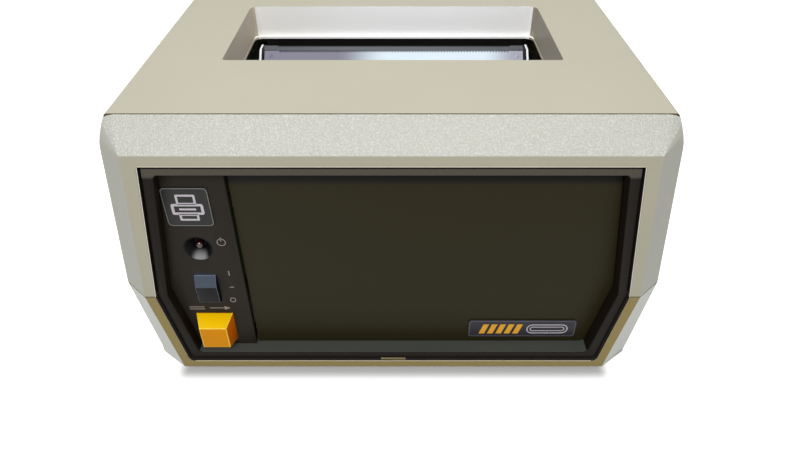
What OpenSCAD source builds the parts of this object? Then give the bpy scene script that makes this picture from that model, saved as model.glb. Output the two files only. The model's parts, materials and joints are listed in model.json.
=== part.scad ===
// Desk-top dot matrix printer for roll paper, with a hinged top cover.
// Frame: origin at the middle of the footprint on the table, X to the right, front towards -Y, Z up.
// All lengths are in millimetres.

/* [Case size] */
// Depth from the front plane to the rear face
body_d = 360; // [350:5:390]
// Height from the table to the top plane
body_h = 169; // [166:1:176]
// Height of the rubber feet under the base
foot_h = 5; // [4:0.5:6]
// Drop from the top plane to the parting line
knee_drop = 104; // [101:0.5:106]
// Half width of the case at the top plane
top_half_w = 144.5; // [143:0.1:148]
// Half width of the case at the parting line, its widest place
knee_half_w = 155.2; // [153:0.1:159]
// Half width of the case at the bottom
bottom_half_w = 149.6; // [147:0.1:153]
// Wall of the moulded shells
wall = 3; // [2.5:0.1:3.4]
// Radius of the long top edges
top_edge_r = 2; // [1.5:0.5:3]
// Radius of the long bottom edges
bottom_edge_r = 5.5; // [4:0.5:8]
// Chamfer round the rear face
rear_bevel = 4; // [3:0.2:4.4]

/* [Front bezel] */
// Depth of the sloping bevel behind the front plane, up to the cover seam
top_bevel_d = 22.8; // [22:0.1:26]
// Drop of the sloping bevel
top_bevel_drop = 10.5; // [9:0.5:12]
// Inset of the front crease from the side at the top
crease_inset_top = 14.4; // [13.5:0.1:15]
// Inset of the front crease from the side at the parting line
crease_inset_knee = 13.9; // [13.2:0.1:14.6]
// Inset of the front crease from the side at the bottom
crease_inset_bottom = 18.7; // [17.6:0.1:18.9]
// Depth of the side bevel for each millimetre of its inset
side_bevel_slope = 0.93; // [0.84:0.01:0.94]
// Thickness of the front flange of bezel and base
flange_d = 17.6; // [17.4:0.1:19]
// Drop from the top plane to the upper edge of the front opening
opening_drop = 16.3; // [15.6:0.1:17.4]
// Height of the lower edge of the front opening over the base underside
opening_rise = 5; // [4.5:0.1:6]
// Inset of the opening from the side at its upper edge
opening_inset_top = 21.6; // [21:0.1:22.8]
// Inset of the opening from the side at the parting line
opening_inset_knee = 19.8; // [19.2:0.1:20.7]
// Inset of the opening from the side at its lower edge
opening_inset_bottom = 23.8; // [23.2:0.1:25.1]
// Radius of the upper corners of the opening
opening_r_top = 2; // [1.5:0.5:3]
// Radius of the lower corners of the opening
opening_r_bottom = 4; // [3:0.5:4.5]
// Length of the locating tab in the middle of the lower edge
tab_w = 15; // [10:1:20]

/* [Top cover] */
// Gap between the cover and its neighbours
cover_gap = 0.6; // [0.5:0.1:1]
// Height of the cover's side skirts
skirt_h = 14; // [13:0.5:16]
// Thickness of the cover
cover_wall = 3; // [2.5:0.1:3.2]
// Radius of the rolled rear edge round the hinge pins
hinge_r = 5.5; // [5:0.1:6]
// Depth of the fixed deck behind the cover
deck_d = 30; // [26:1:36]
// Distance of the hinge ears from the middle
ear_x = 110; // [90:1:120]
// Width of a hinge ear
ear_w = 8; // [6:0.5:10]
// Radius of the hinge pins
pin_r = 1.5; // [1.2:0.1:2]
// Radial clearance of a shaft in its bearing
run_gap = 0.05; // [0.03:0.01:0.08]

/* [Paper exit well] */
// Half width of the well at the top plane
well_half_w = 99.7; // [96:0.5:101]
// Distance from the cover seam to the front edge of the well
well_front = 67.1; // [65:0.1:69]
// Length of the well, front to back
well_l = 93; // [88:1:96]
// Depth of the well
well_d = 22; // [21:0.5:24]
// Lean of the well's walls in degrees
well_draft = 1.2; // [0.8:0.2:2]
// Wall of the well
well_wall = 2.2; // [1.8:0.1:2.6]
// Radius of the upright back corners of the well
well_r = 6; // [4:0.5:8]
// Width of the lip at the foot of the well's back wall
well_lip = 2.8; // [2:0.1:3.2]
// Thickness of that lip
lip_t = 1.4; // [1.2:0.1:1.8]

/* [Front panel] */
// Gap round the dark frame inside the opening
frame_gap = 1.3; // [1:0.1:1.6]
// Setback of the dark frame from the front plane
frame_setback = 1.5; // [1:0.1:2]
// Width of the lip of the dark frame
frame_lip = 5.2; // [4.8:0.1:5.6]
// Depth of the recess from the front plane to the panel
panel_depth = 10.7; // [10.3:0.1:11.4]
// Thickness of the panels
panel_t = 2; // [1.6:0.1:2.4]
// How far the control strip stands before the panel
strip_proud = 2; // [1.6:0.1:2.4]
// Width of the strip from the line of controls to its edge
strip_half_w = 22.4; // [21:0.1:24]
// Width of the groove between strip and panel
groove_w = 1; // [0.8:0.1:1.4]

/* [Controls] */
// Distance of the line of controls from the side of the opening where it is narrowest
control_inset = 19.3; // [18.9:0.1:20.5]
// Drop from the opening's upper edge to the middle of the badge plate
badge_drop = 30.3; // [28:0.1:32]
// Side of the square badge plate
badge_w = 24.5; // [20:0.5:25]
// Thickness of badge and name plates
plate_t = 0.8; // [0.6:0.1:1]
// Height of the lamp over the middle between badge plate and rocker
lamp_rise = 0.85; // [0:0.05:2]
// Radius of the lamp recess at its mouth
lamp_cup_r = 7.45; // [6.5:0.05:8]
// Radius of the lamp
lamp_r = 2.5; // [2:0.1:3]
// Distance between the middles of key and rocker
rocker_rise = 31.7; // [31:0.1:33]
// Width of the rocker opening
rocker_w = 13; // [12:0.5:14]
// Height of the rocker opening
rocker_h = 22; // [20:0.5:23]
// How far the ridge of the rocker stands before the strip
rocker_proud = 3.5; // [3:0.1:4]
// Height of the rocker's ridge over its middle
rocker_ridge_rise = 2; // [0:0.5:3]
// Angle of the rocker faces from upright in degrees
rocker_face_angle = 12; // [10:1:14]
// Tilt of the rocker from its middle in degrees
rocker_tilt = 8; // [6:0.5:9]
// Height of the paper advance key over the opening's lower edge
key_rise = 11.4; // [11:0.1:12.4]
// Width and height of the key at its base
key_w = 21.8; // [20:0.2:22.4]
// Width and height of the key's front face
key_face = 16.2; // [15:0.2:17]
// How far the key stands before the strip
key_proud = 8.5; // [7:0.1:8.6]
// Travel of the key
key_travel = 4; // [3:0.5:4.5]
// Gap round the key and the rocker
key_gap = 0.4; // [0.3:0.1:0.5]
// Distance of the name plate's middle from the side of the opening
name_inset = 49.8; // [49:0.2:54]
// Height of the name plate's middle over the opening's lower edge
name_rise = 18.5; // [17.5:0.5:22]
// Width of the name plate
name_w = 66.5; // [60:0.5:70]
// Height of the name plate
name_h = 14.3; // [13:0.1:15]

/* [Print mechanism] */
// Distance from the cover seam to the tear edge
tear_back = 139.7; // [138:0.1:141]
// Drop from the top plane to the tips of the teeth
tear_drop = 20.25; // [19.5:0.25:21]
// Half width over the mechanism's side plates
mech_half_w = 93; // [92:0.5:94]
// Thickness of the side plates
mech_t = 1.5; // [1.2:0.1:2]
// Pitch of the teeth
tooth_pitch = 2; // [1.8:0.1:2.4]
// Number of teeth
tooth_count = 80; // [70:1:82]
// Height of a tooth
tooth_h = 1.3; // [1:0.1:1.5]
// Length of the toothed strip down its slope, over the points of both edges
serration_l = 4.3; // [4:0.1:4.6]
// Thickness of the toothed strip
tear_strip_t = 1; // [0.8:0.1:1.2]
// Length of the steep part of the guide sheet below the strip
guide_steep_l = 7; // [6:0.5:8]
// Drop from the top plane to the print line
print_drop = 52; // [51:0.5:54]
// Radius of the print head's magnet ring
head_r = 15; // [13:0.5:16]
// Half of the carriage travel
carriage_reach = 42; // [36:1:42]
// Radius of the carriage guide rods
rod_r = 3; // [2.5:0.25:3.5]
// Distance between the guide rods
rod_spread = 24; // [22:0.5:25]
// Radius of the drive drum
drum_r = 13; // [11:0.5:14]
// Tooth module of all gears
gear_module = 0.8; // [0.75:0.05:0.85]
// Teeth of the drum gear
drum_teeth = 40; // [38:2:42]
// Teeth of the feed gear
feed_teeth = 36; // [32:2:38]
// Teeth of the motor pinions
pinion_teeth = 12; // [11:1:14]
// Width of the gears
gear_w = 6; // [4:0.5:7]
// Radius of the feed rollers
feed_r = 8; // [7.5:0.25:8.5]
// Radius of the pinch rollers
pinch_r = 5; // [4.5:0.25:5.5]
// Distance of the rollers from the middle
roller_x = 35; // [28:1:40]
// Radius of the ribbon spools
spool_r = 24; // [22:0.5:25]
// Distance of the ribbon spools from the middle
spool_x = 60; // [56:1:62]
// Height of the ribbon
ribbon_h = 12.7; // [10:0.1:13]

/* [Paper roll] */
// Width of the roll
roll_w = 98.4; // [90:0.4:104]
// Radius of the roll
roll_r = 50; // [42:1:52]
// Radius of the roll's core
core_r = 10; // [9:0.5:12]
// Radius of the spindle
spindle_r = 5; // [4:0.25:5.5]
// Gap between the mechanism and the roll
roll_gap = 17; // [16:0.5:20]
// Height of the roll's axis over the table
roll_axis_h = 78; // [72:1:80]

/* [Electronics] */
// Side of the transformer
transformer_w = 56; // [48:1:58]
// Height of the transformer
transformer_h = 50; // [42:1:54]
// Radius of the filter capacitors
cap_r = 11.5; // [9:0.5:12]
// Height of the filter capacitors
cap_h = 42; // [34:1:48]
// Width of the circuit board
board_w = 156; // [150:1:158]
// Length of the heat sink
sink_l = 44; // [36:1:50]
// Height of the heat sink
sink_h = 28; // [20:1:32]
// Width of the rear panel
rear_panel_w = 212; // [200:2:220]
// Width of a data socket's mouth
socket_w = 26; // [22:1:28]
// Height of a data socket's mouth
socket_h = 8; // [7:0.5:9]
// Width of the mains inlet's mouth
inlet_w = 24; // [22:0.5:25]
// Height of the mains inlet's mouth
inlet_h = 16; // [14:0.5:17]

/* [Hidden] */
$fn = 48;
arc_steps = 5; // straight steps in a rounded corner
slack = 1; // overlap of a cutter past the face it cuts
reach = 400; // length of a cutter that runs past the whole case

// Main planes and lines of the case
front_y = -body_d / 2;
rear_y = body_d / 2;
knee_z = body_h - knee_drop;
floor_z = foot_h + wall;
seam_y = front_y + top_bevel_d;
crease_z = body_h - top_bevel_drop;
opening_top_z = body_h - opening_drop;
opening_bottom_z = foot_h + opening_rise;
frame_flange = opening_rise - wall - 0.2; // how far the dark frame laps behind bezel and base
frame_flange_t = 2.5;
hollow_top_z = opening_top_z + frame_flange + cover_gap;

// Half width of the case at height z
function half_w(z) = z >= knee_z
    ? knee_half_w + (top_half_w - knee_half_w) * (z - knee_z) / (body_h - knee_z)
    : bottom_half_w + (knee_half_w - bottom_half_w) * (z - foot_h) / (knee_z - foot_h);

// Corner at p between neighbours a (before) and b (after), rounded by r; the outline runs anticlockwise
function unit(v) = v / norm(v);
function corner(a, p, b, r) =
    r <= 0 ? [p] :
    let (u = unit(a - p), w = unit(b - p), half = acos(u * w) / 2,
         centre = p + unit(u + w) * (r / sin(half)),
         start = p + u * (r / tan(half)) - centre,
         from = atan2(start[1], start[0]))
    [for (i = [0:arc_steps]) let (angle = from + (180 - 2 * half) * i / arc_steps)
        centre + r * [cos(angle), sin(angle)]];
function rounded(points, radii) =
    let (n = len(points))
    [for (i = [0:n - 1]) each corner(points[(i + n - 1) % n], points[i], points[(i + 1) % n], radii[i])];

// Flat outlines drawn in the X-Y plane are stood up along Y or along X
module along_y(from, to) {
    translate([0, to, 0])
        rotate([90, 0, 0])
            linear_extrude(to - from)
                children();
}
module along_x(from, to) {
    translate([from, 0, 0])
        rotate([90, 0, 90])
            linear_extrude(to - from)
                children();
}
module block(low, high) {
    translate(low)
        cube(high - low);
}
module rod_x(from, to, y, z, r) {
    translate([from, y, z])
        rotate([0, 90, 0])
            cylinder(h = to - from, r = r);
}
module rod_y(x, from, to, z, r) {
    translate([x, from, z])
        rotate([-90, 0, 0])
            cylinder(h = to - from, r = r);
}
module both_sides() {
    children();
    mirror([1, 0, 0])
        children();
}

// Outlines of the case in the X-Z plane
module upper_outline(inset, top, r) {
    low = half_w(knee_z) - inset;
    high = half_w(top) - inset;
    polygon(rounded([[-low, knee_z], [low, knee_z], [high, top], [-high, top]], [0, 0, r, r]));
}
module lower_outline(inset, bottom, r) {
    low = half_w(bottom) - inset;
    high = half_w(knee_z) - inset;
    polygon(rounded([[-low, bottom], [low, bottom], [high, knee_z], [-high, knee_z]], [r, r, 0, 0]));
}
// The front opening, made larger by grow (smaller where grow is negative)
module opening_outline(grow, corner_grow) {
    top = opening_top_z + grow;
    bottom = opening_bottom_z - grow;
    top_w = half_w(opening_top_z) - opening_inset_top + grow;
    knee_w = knee_half_w - opening_inset_knee + grow;
    bottom_w = half_w(opening_bottom_z) - opening_inset_bottom + grow;
    polygon(rounded(
        [[-bottom_w, bottom], [bottom_w, bottom], [knee_w, knee_z], [top_w, top], [-top_w, top],
            [-knee_w, knee_z]],
        [opening_r_bottom, opening_r_bottom, corner_grow, opening_r_top, opening_r_top, corner_grow]));
}

// Cutters for the bevels round the front and rear faces
module crease_cut(knee_x, lean, slope) {
    translate([knee_x, front_y, knee_z])
        rotate([0, lean, 0])
            translate([0, 0, -reach / 2])
                linear_extrude(reach)
                    polygon([[0, 0], [wall * 20, wall * 20 * slope], [wall * 20, -wall], [0, -wall]]);
}
module top_cut(depth, drop) {
    along_x(-reach / 2, reach / 2)
        polygon([[front_y - depth, body_h - 2 * drop], [front_y + depth, body_h],
            [front_y + depth, body_h + wall], [front_y - depth, body_h + wall]]);
}
module upper_side_cuts(inset_top, inset_knee, slope) {
    run = (half_w(crease_z) - inset_top) - (knee_half_w - inset_knee);
    both_sides()
        crease_cut(knee_half_w - inset_knee, atan(run / (crease_z - knee_z)), slope);
}
module lower_side_cuts(inset_bottom, inset_knee, slope) {
    run = (knee_half_w - inset_knee) - (bottom_half_w - inset_bottom);
    both_sides()
        crease_cut(knee_half_w - inset_knee, atan(run / (knee_z - foot_h)), slope);
}

// ---------- Case ----------
deck_front_y = rear_y - deck_d;
pivot_y = deck_front_y - hinge_r - cover_gap;
pivot_z = body_h - hinge_r + 0.2; // the roll runs out into the top plane
cover_low_z = body_h - skirt_h;
side_top_z = cover_low_z - cover_gap;
rear_cut_w = rear_panel_w - 12; // width of the opening in the rear wall
rear_cut_low = floor_z + 8;
rear_cut_high = knee_z - 8;
board_z = floor_z + 6;
post_r = 5;
post_xs = [-80, 80];
screw_r = 3.2;
foot_r = 10;
foot_x = bottom_half_w - 36.1;
foot_ys = [front_y + 40, rear_y - 40];

module base_shell() color("#c8c2a8") {
    difference() {
        along_y(front_y, rear_y)
            lower_outline(0, foot_h, bottom_edge_r);
        lower_side_cuts(crease_inset_bottom, crease_inset_knee, side_bevel_slope);
        mirror([0, 1, 0])
            lower_side_cuts(rear_bevel, rear_bevel, 1);
        along_y(front_y + flange_d, rear_y - wall)
            translate([0, slack])
                lower_outline(wall, floor_z, bottom_edge_r - wall);
        along_y(front_y + flange_d, rear_y - wall)
            lower_outline(wall, floor_z, bottom_edge_r - wall);
        along_y(front_y - slack, front_y + flange_d + slack)
            opening_outline(0, 0);
        block([-rear_cut_w / 2, rear_y - wall - slack, rear_cut_low],
            [rear_cut_w / 2, rear_y + slack, rear_cut_high]);
        for (x = [-foot_x, foot_x], y = foot_ys)
            translate([x, y + 2 * foot_r, foot_h - slack])
                cylinder(h = wall + 2 * slack, r = screw_r);
    }
    // Tab that locates the dark frame
    block([-tab_w / 2, front_y + frame_setback, opening_bottom_z - slack],
        [tab_w / 2, front_y + flange_d, opening_bottom_z + frame_gap]);
    // Posts for the print mechanism
    for (x = post_xs, y = [post_front_y, post_rear_y])
        translate([x, y, floor_z])
            cylinder(h = mech_base_z - floor_z, r = post_r);
    // Stand-offs for the circuit board
    for (x = [board_x0 + 6, board_x1 - 6], y = [board_y0 + 6, board_y1 - 6])
        translate([x, y, floor_z])
            cylinder(h = board_z - floor_z, r = 3);
}
module rubber_feet() color("#24221f") {
    for (x = [-foot_x, foot_x], y = foot_ys)
        translate([x, y, 0])
            union() {
                cylinder(h = foot_h / 2, r1 = foot_r - 1, r2 = foot_r);
                translate([0, 0, foot_h / 2])
                    cylinder(h = foot_h / 2, r = foot_r);
            }
}
module case_screws() color("#8d8f92") {
    for (x = [-foot_x, foot_x], y = foot_ys)
        translate([x, y + 2 * foot_r, foot_h + 0.5])
            difference() {
                cylinder(h = wall + 3, r = screw_r);
                translate([-screw_r, -0.5, -slack])
                    cube([2 * screw_r, 1, slack + 0.8]);
            }
}
module front_bezel() color("#d2cdb8") {
    ledge_w = half_w(cover_low_z) - 2 * cover_wall - cover_gap;
    difference() {
        along_y(front_y, seam_y)
            upper_outline(0, body_h, top_edge_r);
        top_cut(top_bevel_d, top_bevel_drop);
        upper_side_cuts(crease_inset_top, crease_inset_knee, side_bevel_slope);
        along_y(front_y - slack, front_y + flange_d + slack)
            opening_outline(0, 0);
        along_y(front_y + flange_d, seam_y + slack)
            upper_outline(wall, hollow_top_z, 0);
        along_y(front_y + flange_d, seam_y + slack)
            translate([0, -slack])
                upper_outline(wall, hollow_top_z, 0);
    }
    // Ledge that carries the front edge of the cover
    block([-ledge_w, seam_y - slack, hollow_top_z],
        [ledge_w, seam_y + 8, body_h - cover_wall - cover_gap / 2]);
}
module upper_housing() color("#cfc9b3") {
    difference() {
        along_y(seam_y, rear_y)
            upper_outline(0, body_h, top_edge_r);
        mirror([0, 1, 0]) {
            upper_side_cuts(rear_bevel, rear_bevel, 1);
            top_cut(rear_bevel, rear_bevel);
        }
        along_y(seam_y - slack, rear_y - wall)
            upper_outline(wall, body_h - wall, 0);
        along_y(seam_y - slack, rear_y - wall)
            translate([0, -slack])
                upper_outline(wall, knee_z + wall, 0);
        block([-reach / 2, seam_y - slack, side_top_z], [reach / 2, deck_front_y, body_h + slack]);
        // Air slots in the rear wall
        for (i = [-9:9])
            block([i * 9 - 2, rear_y - wall - slack, knee_z + 18], [i * 9 + 2, rear_y + slack, body_h - 40]);
    }
    // Hinge ears under the deck
    difference() {
        both_sides()
            union() {
                rod_x(ear_x - ear_w / 2, ear_x + ear_w / 2, pivot_y, pivot_z, hinge_r - 0.5);
                block([ear_x - ear_w / 2, pivot_y, pivot_z - hinge_r + 0.5],
                    [ear_x + ear_w / 2, deck_front_y + 2 * wall, body_h - wall]);
                block([ear_x - ear_w / 2, deck_front_y, pivot_z],
                    [ear_x + ear_w / 2, deck_front_y + 2 * wall, body_h - wall / 2]);
            }
        both_sides()
            rod_x(ear_x - ear_w, ear_x + ear_w, pivot_y, pivot_z, pin_r);
    }
}
well_y0 = seam_y + well_front;
well_y1 = well_y0 + well_l;
well_low_z = body_h - well_d;
well_lean = tan(well_draft);

// The hollow of the well, made larger by grow, from its lower edge up past the top plane
module well_space(grow, low, high) {
    top_w = well_half_w + grow + (high - body_h) * well_lean;
    low_w = well_half_w + grow - (body_h - low) * well_lean;
    round_w = well_half_w + grow + 0.05;
    round_y0 = well_y0 - grow - 0.05;
    round_y1 = well_y1 + grow + 0.05;
    intersection() {
        along_y(well_y0 - grow - slack, well_y1 + grow + slack)
            polygon([[-low_w, low], [low_w, low], [top_w, high], [-top_w, high]]);
        along_x(-well_half_w - grow - slack, well_half_w + grow + slack)
            polygon([[well_y0 - grow + (body_h - low) * well_lean, low],
                [well_y1 + grow - (body_h - low) * well_lean / 2, low],
                [well_y1 + grow + (high - body_h) * well_lean / 2, high],
                [well_y0 - grow - (high - body_h) * well_lean, high]]);
        translate([0, 0, low - slack])
            linear_extrude(high - low + 2 * slack)
                polygon(rounded(
                    [[-round_w, round_y0], [round_w, round_y0], [round_w, round_y1], [-round_w, round_y1]],
                    [2 + grow, 2 + grow, well_r + grow, well_r + grow]));
    }
}
// Lip round the foot of the well, widest at the back and round in its corners
module well_lip_ring() {
    half = well_half_w - well_d * well_lean - 0.3;
    difference() {
        well_space(well_wall / 2, well_low_z, well_low_z + lip_t);
        translate([0, 0, well_low_z - slack])
            linear_extrude(lip_t + 2 * slack)
                polygon(rounded(
                    [[-half, well_y0 + 1], [half, well_y0 + 1],
                        [half, well_y1 - well_d * well_lean / 2 - well_lip],
                        [-half, well_y1 - well_d * well_lean / 2 - well_lip]],
                    [2, 2, well_r, well_r]));
    }
}
module top_cover() color("#cbc4ab") {
    well_lip_ring();
    difference() {
        union() {
            difference() {
                along_y(seam_y + cover_gap, pivot_y)
                    intersection() {
                        upper_outline(0, body_h, top_edge_r);
                        translate([-reach / 2, cover_low_z])
                            square([reach, skirt_h + slack]);
                    }
                along_y(seam_y + cover_gap - slack, pivot_y - hinge_r)
                    translate([0, -slack])
                        upper_outline(cover_wall, body_h - cover_wall + slack, 0);
            }
            intersection() {
                rod_x(-knee_half_w, knee_half_w, pivot_y, pivot_z, hinge_r);
                along_y(pivot_y - 2 * hinge_r, pivot_y + 2 * hinge_r)
                    upper_outline(0, body_h, top_edge_r);
            }
            well_space(well_wall, well_low_z, body_h - cover_wall / 2);
        }
        well_space(0, well_low_z - slack, body_h + slack);
        // Room under the rolled edge, so that the solid rear end is only the roll
        block([-half_w(pivot_z) + cover_wall, pivot_y - hinge_r - slack, cover_low_z - slack],
            [half_w(pivot_z) - cover_wall, pivot_y + slack, pivot_z - hinge_r + 0.5]);
        both_sides() {
            block([ear_x - ear_w / 2 - cover_gap, pivot_y - hinge_r - cover_gap, cover_low_z],
                [ear_x + ear_w / 2 + cover_gap, pivot_y + 2 * hinge_r, body_h + slack]);
            rod_x(ear_x - 1.6 * ear_w, ear_x + 1.6 * ear_w, pivot_y, pivot_z, pin_r + run_gap);
        }
    }
}
module hinge_pins() color("#b9bcc0") {
    both_sides()
        rod_x(ear_x - 1.5 * ear_w, ear_x + 1.5 * ear_w, pivot_y, pivot_z, pin_r);
}

// ---------- Front panel and controls ----------
panel_y = front_y + panel_depth;
strip_y = panel_y - strip_proud;
panel_back_y = panel_y + panel_t;
frame_y = front_y + frame_setback;
recess_grow = -frame_gap - frame_lip;
step_grow = recess_grow - 1.5; // the step that the panels lie against
frame_back_y = front_y + flange_d + frame_flange_t;
key_z = opening_bottom_z + key_rise + key_w / 2;
rocker_z = key_z + rocker_rise;
badge_z = opening_top_z - badge_drop;
lamp_z = (badge_z - badge_w / 2 + rocker_z + rocker_h / 2 + 1) / 2 + lamp_rise;
name_z = opening_bottom_z + name_rise;
// Half width of the front opening at height z
function opening_half_w(z) =
    let (knee = knee_half_w - opening_inset_knee,
         top = half_w(opening_top_z) - opening_inset_top,
         bottom = half_w(opening_bottom_z) - opening_inset_bottom)
    z >= knee_z
        ? knee + (top - knee) * (z - knee_z) / (opening_top_z - knee_z)
        : knee + (bottom - knee) * (knee_z - z) / (knee_z - opening_bottom_z);
control_x = min(opening_half_w(badge_z + badge_w / 2), opening_half_w(knee_z),
    opening_half_w(key_z - key_w / 2)) - control_inset;
strip_edge_x = control_x - strip_half_w;
name_x = min(opening_half_w(name_z), opening_half_w(knee_z)) - name_inset;
fit_gap = 0.15; // gap round a panel or plate that drops into a recess
lamp_cup_d = panel_t + strip_proud + 2;

module front_frame() color("#2c2822") {
    difference() {
        union() {
            along_y(frame_y, frame_back_y)
                opening_outline(-frame_gap, 3);
            along_y(front_y + flange_d, frame_back_y)
                opening_outline(frame_flange, 3);
        }
        along_y(frame_y - slack, panel_back_y)
            opening_outline(recess_grow, 6);
        along_y(panel_back_y - slack, frame_back_y + slack)
            opening_outline(step_grow, 6);
    }
}
module front_panel() color("#2e2c22") {
    along_y(panel_y, panel_back_y)
        intersection() {
            opening_outline(recess_grow - fit_gap, 6);
            translate([-strip_edge_x + groove_w / 2, 0])
                square([reach, body_h]);
        }
}
module control_panel() color("#2b2721") {
    difference() {
        along_y(strip_y, panel_back_y)
            intersection() {
                opening_outline(recess_grow - fit_gap, 6);
                translate([-reach, 0])
                    square([reach - strip_edge_x - groove_w / 2, body_h]);
            }
        rod_y(-control_x, strip_y - slack, panel_back_y + slack, lamp_z, lamp_cup_r + 0.8);
        block([-control_x - rocker_w / 2 - 1, strip_y - slack, rocker_z - rocker_h / 2 - 1],
            [-control_x + rocker_w / 2 + 1, panel_back_y + slack, rocker_z + rocker_h / 2 + 1]);
        block([-control_x - key_w / 2 - key_gap, strip_y - slack, key_z - key_w / 2 - key_gap],
            [-control_x + key_w / 2 + key_gap, panel_back_y + slack, key_z + key_w / 2 + key_gap]);
    }
}
module plate(x, y, z, w, h, r) {
    along_y(y - plate_t, y)
        translate([x, z])
            polygon(rounded([[-w / 2, -h / 2], [w / 2, -h / 2], [w / 2, h / 2], [-w / 2, h / 2]],
                [r, r, r, r]));
}
module badge_plate() color("#34322e") {
    plate(-control_x, strip_y, badge_z, badge_w, badge_w, 1.5);
}
module name_plate() color("#3a3d45") {
    plate(name_x, panel_y, name_z, name_w, name_h, 2);
}
module lamp_cup() color("#55544f") {
    difference() {
        rod_y(-control_x, strip_y, panel_back_y + 4, lamp_z, lamp_cup_r + 0.8);
        translate([-control_x, strip_y - 0.001, lamp_z])
            rotate([-90, 0, 0])
                cylinder(h = lamp_cup_d, r1 = lamp_cup_r, r2 = lamp_r + 0.6);
        rod_y(-control_x, strip_y, panel_back_y + 4 + slack, lamp_z, lamp_r);
    }
}
module power_lamp() color("#8a1414") {
    rod_y(-control_x, strip_y + 4, panel_back_y + 6, lamp_z, lamp_r);
    translate([-control_x, strip_y + 4, lamp_z])
        sphere(r = lamp_r);
}
pivot_in = 3; // rocker pivot behind the face of the strip
rocker_y = strip_y + pivot_in;
rocker_r = rocker_h / 2 - 0.3;
module switch_body() color("#1f1e1c") {
    difference() {
        block([-control_x - rocker_w / 2 - 1, strip_y, rocker_z - rocker_h / 2 - 1],
            [-control_x + rocker_w / 2 + 1, panel_back_y + 14, rocker_z + rocker_h / 2 + 1]);
        block([-control_x - rocker_w / 2, strip_y - slack, rocker_z - rocker_h / 2],
            [-control_x + rocker_w / 2, panel_back_y + 11, rocker_z + rocker_h / 2]);
        rod_x(-control_x - rocker_w, -control_x + rocker_w, rocker_y, rocker_z, 1);
    }
}
module rocker_pin() color("#b9bcc0") {
    rod_x(-control_x - rocker_w / 2 - 1, -control_x + rocker_w / 2 + 1, rocker_y, rocker_z, 1);
}
module power_rocker() color("#6f7784") {
    half = rocker_w / 2 - key_gap;
    ridge = -pivot_in - rocker_proud;
    edge = ridge + rocker_r * tan(rocker_face_angle);
    shift = rocker_ridge_rise * tan(rocker_face_angle);
    translate([-control_x, rocker_y, rocker_z])
        rotate([-rocker_tilt, 0, 0])
            difference() {
                intersection() {
                    rod_x(-half, half, 0, 0, rocker_r);
                    along_x(-half, half)
                        polygon([[ridge, rocker_ridge_rise], [edge + shift, -rocker_r], [pivot_in, -rocker_r],
                            [pivot_in, rocker_r], [edge - shift, rocker_r]]);
                }
                rod_x(-rocker_w, rocker_w, 0, 0, 1 + run_gap);
            }
}
module key_switch() color("#1f1e1c") {
    arm = key_w / 2 + key_gap + 2.4;
    back = panel_back_y + key_travel + 16;
    // Housing with the well that the key's stem slides in
    difference() {
        block([-control_x - 8, panel_back_y + key_travel + 1.5, key_z - 8], [-control_x + 8, back, key_z + 8]);
        rod_y(-control_x, panel_back_y + key_travel, back - 2, key_z, 3 + run_gap);
    }
    // Legs that hold it to the strip, above the key and beside it
    block([-control_x - 6, panel_back_y, key_z + arm - 0.8], [-control_x + 6, back, key_z + arm + 0.8]);
    block([-control_x - 6, back - 6, key_z + 7], [-control_x + 6, back, key_z + arm]);
    block([-control_x + arm - 0.8, panel_back_y, key_z - 6], [-control_x + arm + 0.8, back, key_z + 6]);
    block([-control_x + 7, back - 6, key_z - 6], [-control_x + arm, back, key_z + 6]);
}
module advance_key() color("#f0a30a") {
    half = key_w / 2;
    face = key_face / 2;
    face_z = key_z - half + 1 + face; // the face sits low, so the top slopes most
    front = strip_y - key_proud;
    intersection() {
        translate([-control_x, 0, key_z - half])
            linear_extrude(key_w)
                polygon([[-half, strip_y], [-half, panel_back_y + 1], [half, panel_back_y + 1], [half, strip_y],
                    [face, front], [-face, front]]);
        along_x(-control_x - half, -control_x + half)
            polygon([[strip_y, key_z - half], [front, face_z - face], [front, face_z + face],
                [strip_y, key_z + half], [panel_back_y + 1, key_z + half], [panel_back_y + 1, key_z - half]]);
    }
    // Flange behind the strip, and the stem
    block([-control_x - half, panel_back_y, key_z - half],
        [-control_x + half + 1.2, panel_back_y + 1, key_z + half + 1.2]);
    rod_y(-control_x, panel_back_y, panel_back_y + key_travel + 8, key_z, 3);
}

// ---------- Rear panel and electronics ----------
rear_plate_y = rear_y - wall; // outer face of the metal panel
rear_plate_t = 1.5;
rear_mid_z = (rear_cut_low + rear_cut_high) / 2;
screw_x = rear_cut_w / 2 - screw_r - 0.8;
inlet_x = screw_x - screw_r - 1.2 - inlet_w / 2 - 5; // the inlet's flange stays clear of the screws
fuse_x = 44;
fuse_l = 18;
socket_xs = [-22, -68];
socket_d = 10;
inlet_d = 15;

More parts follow.
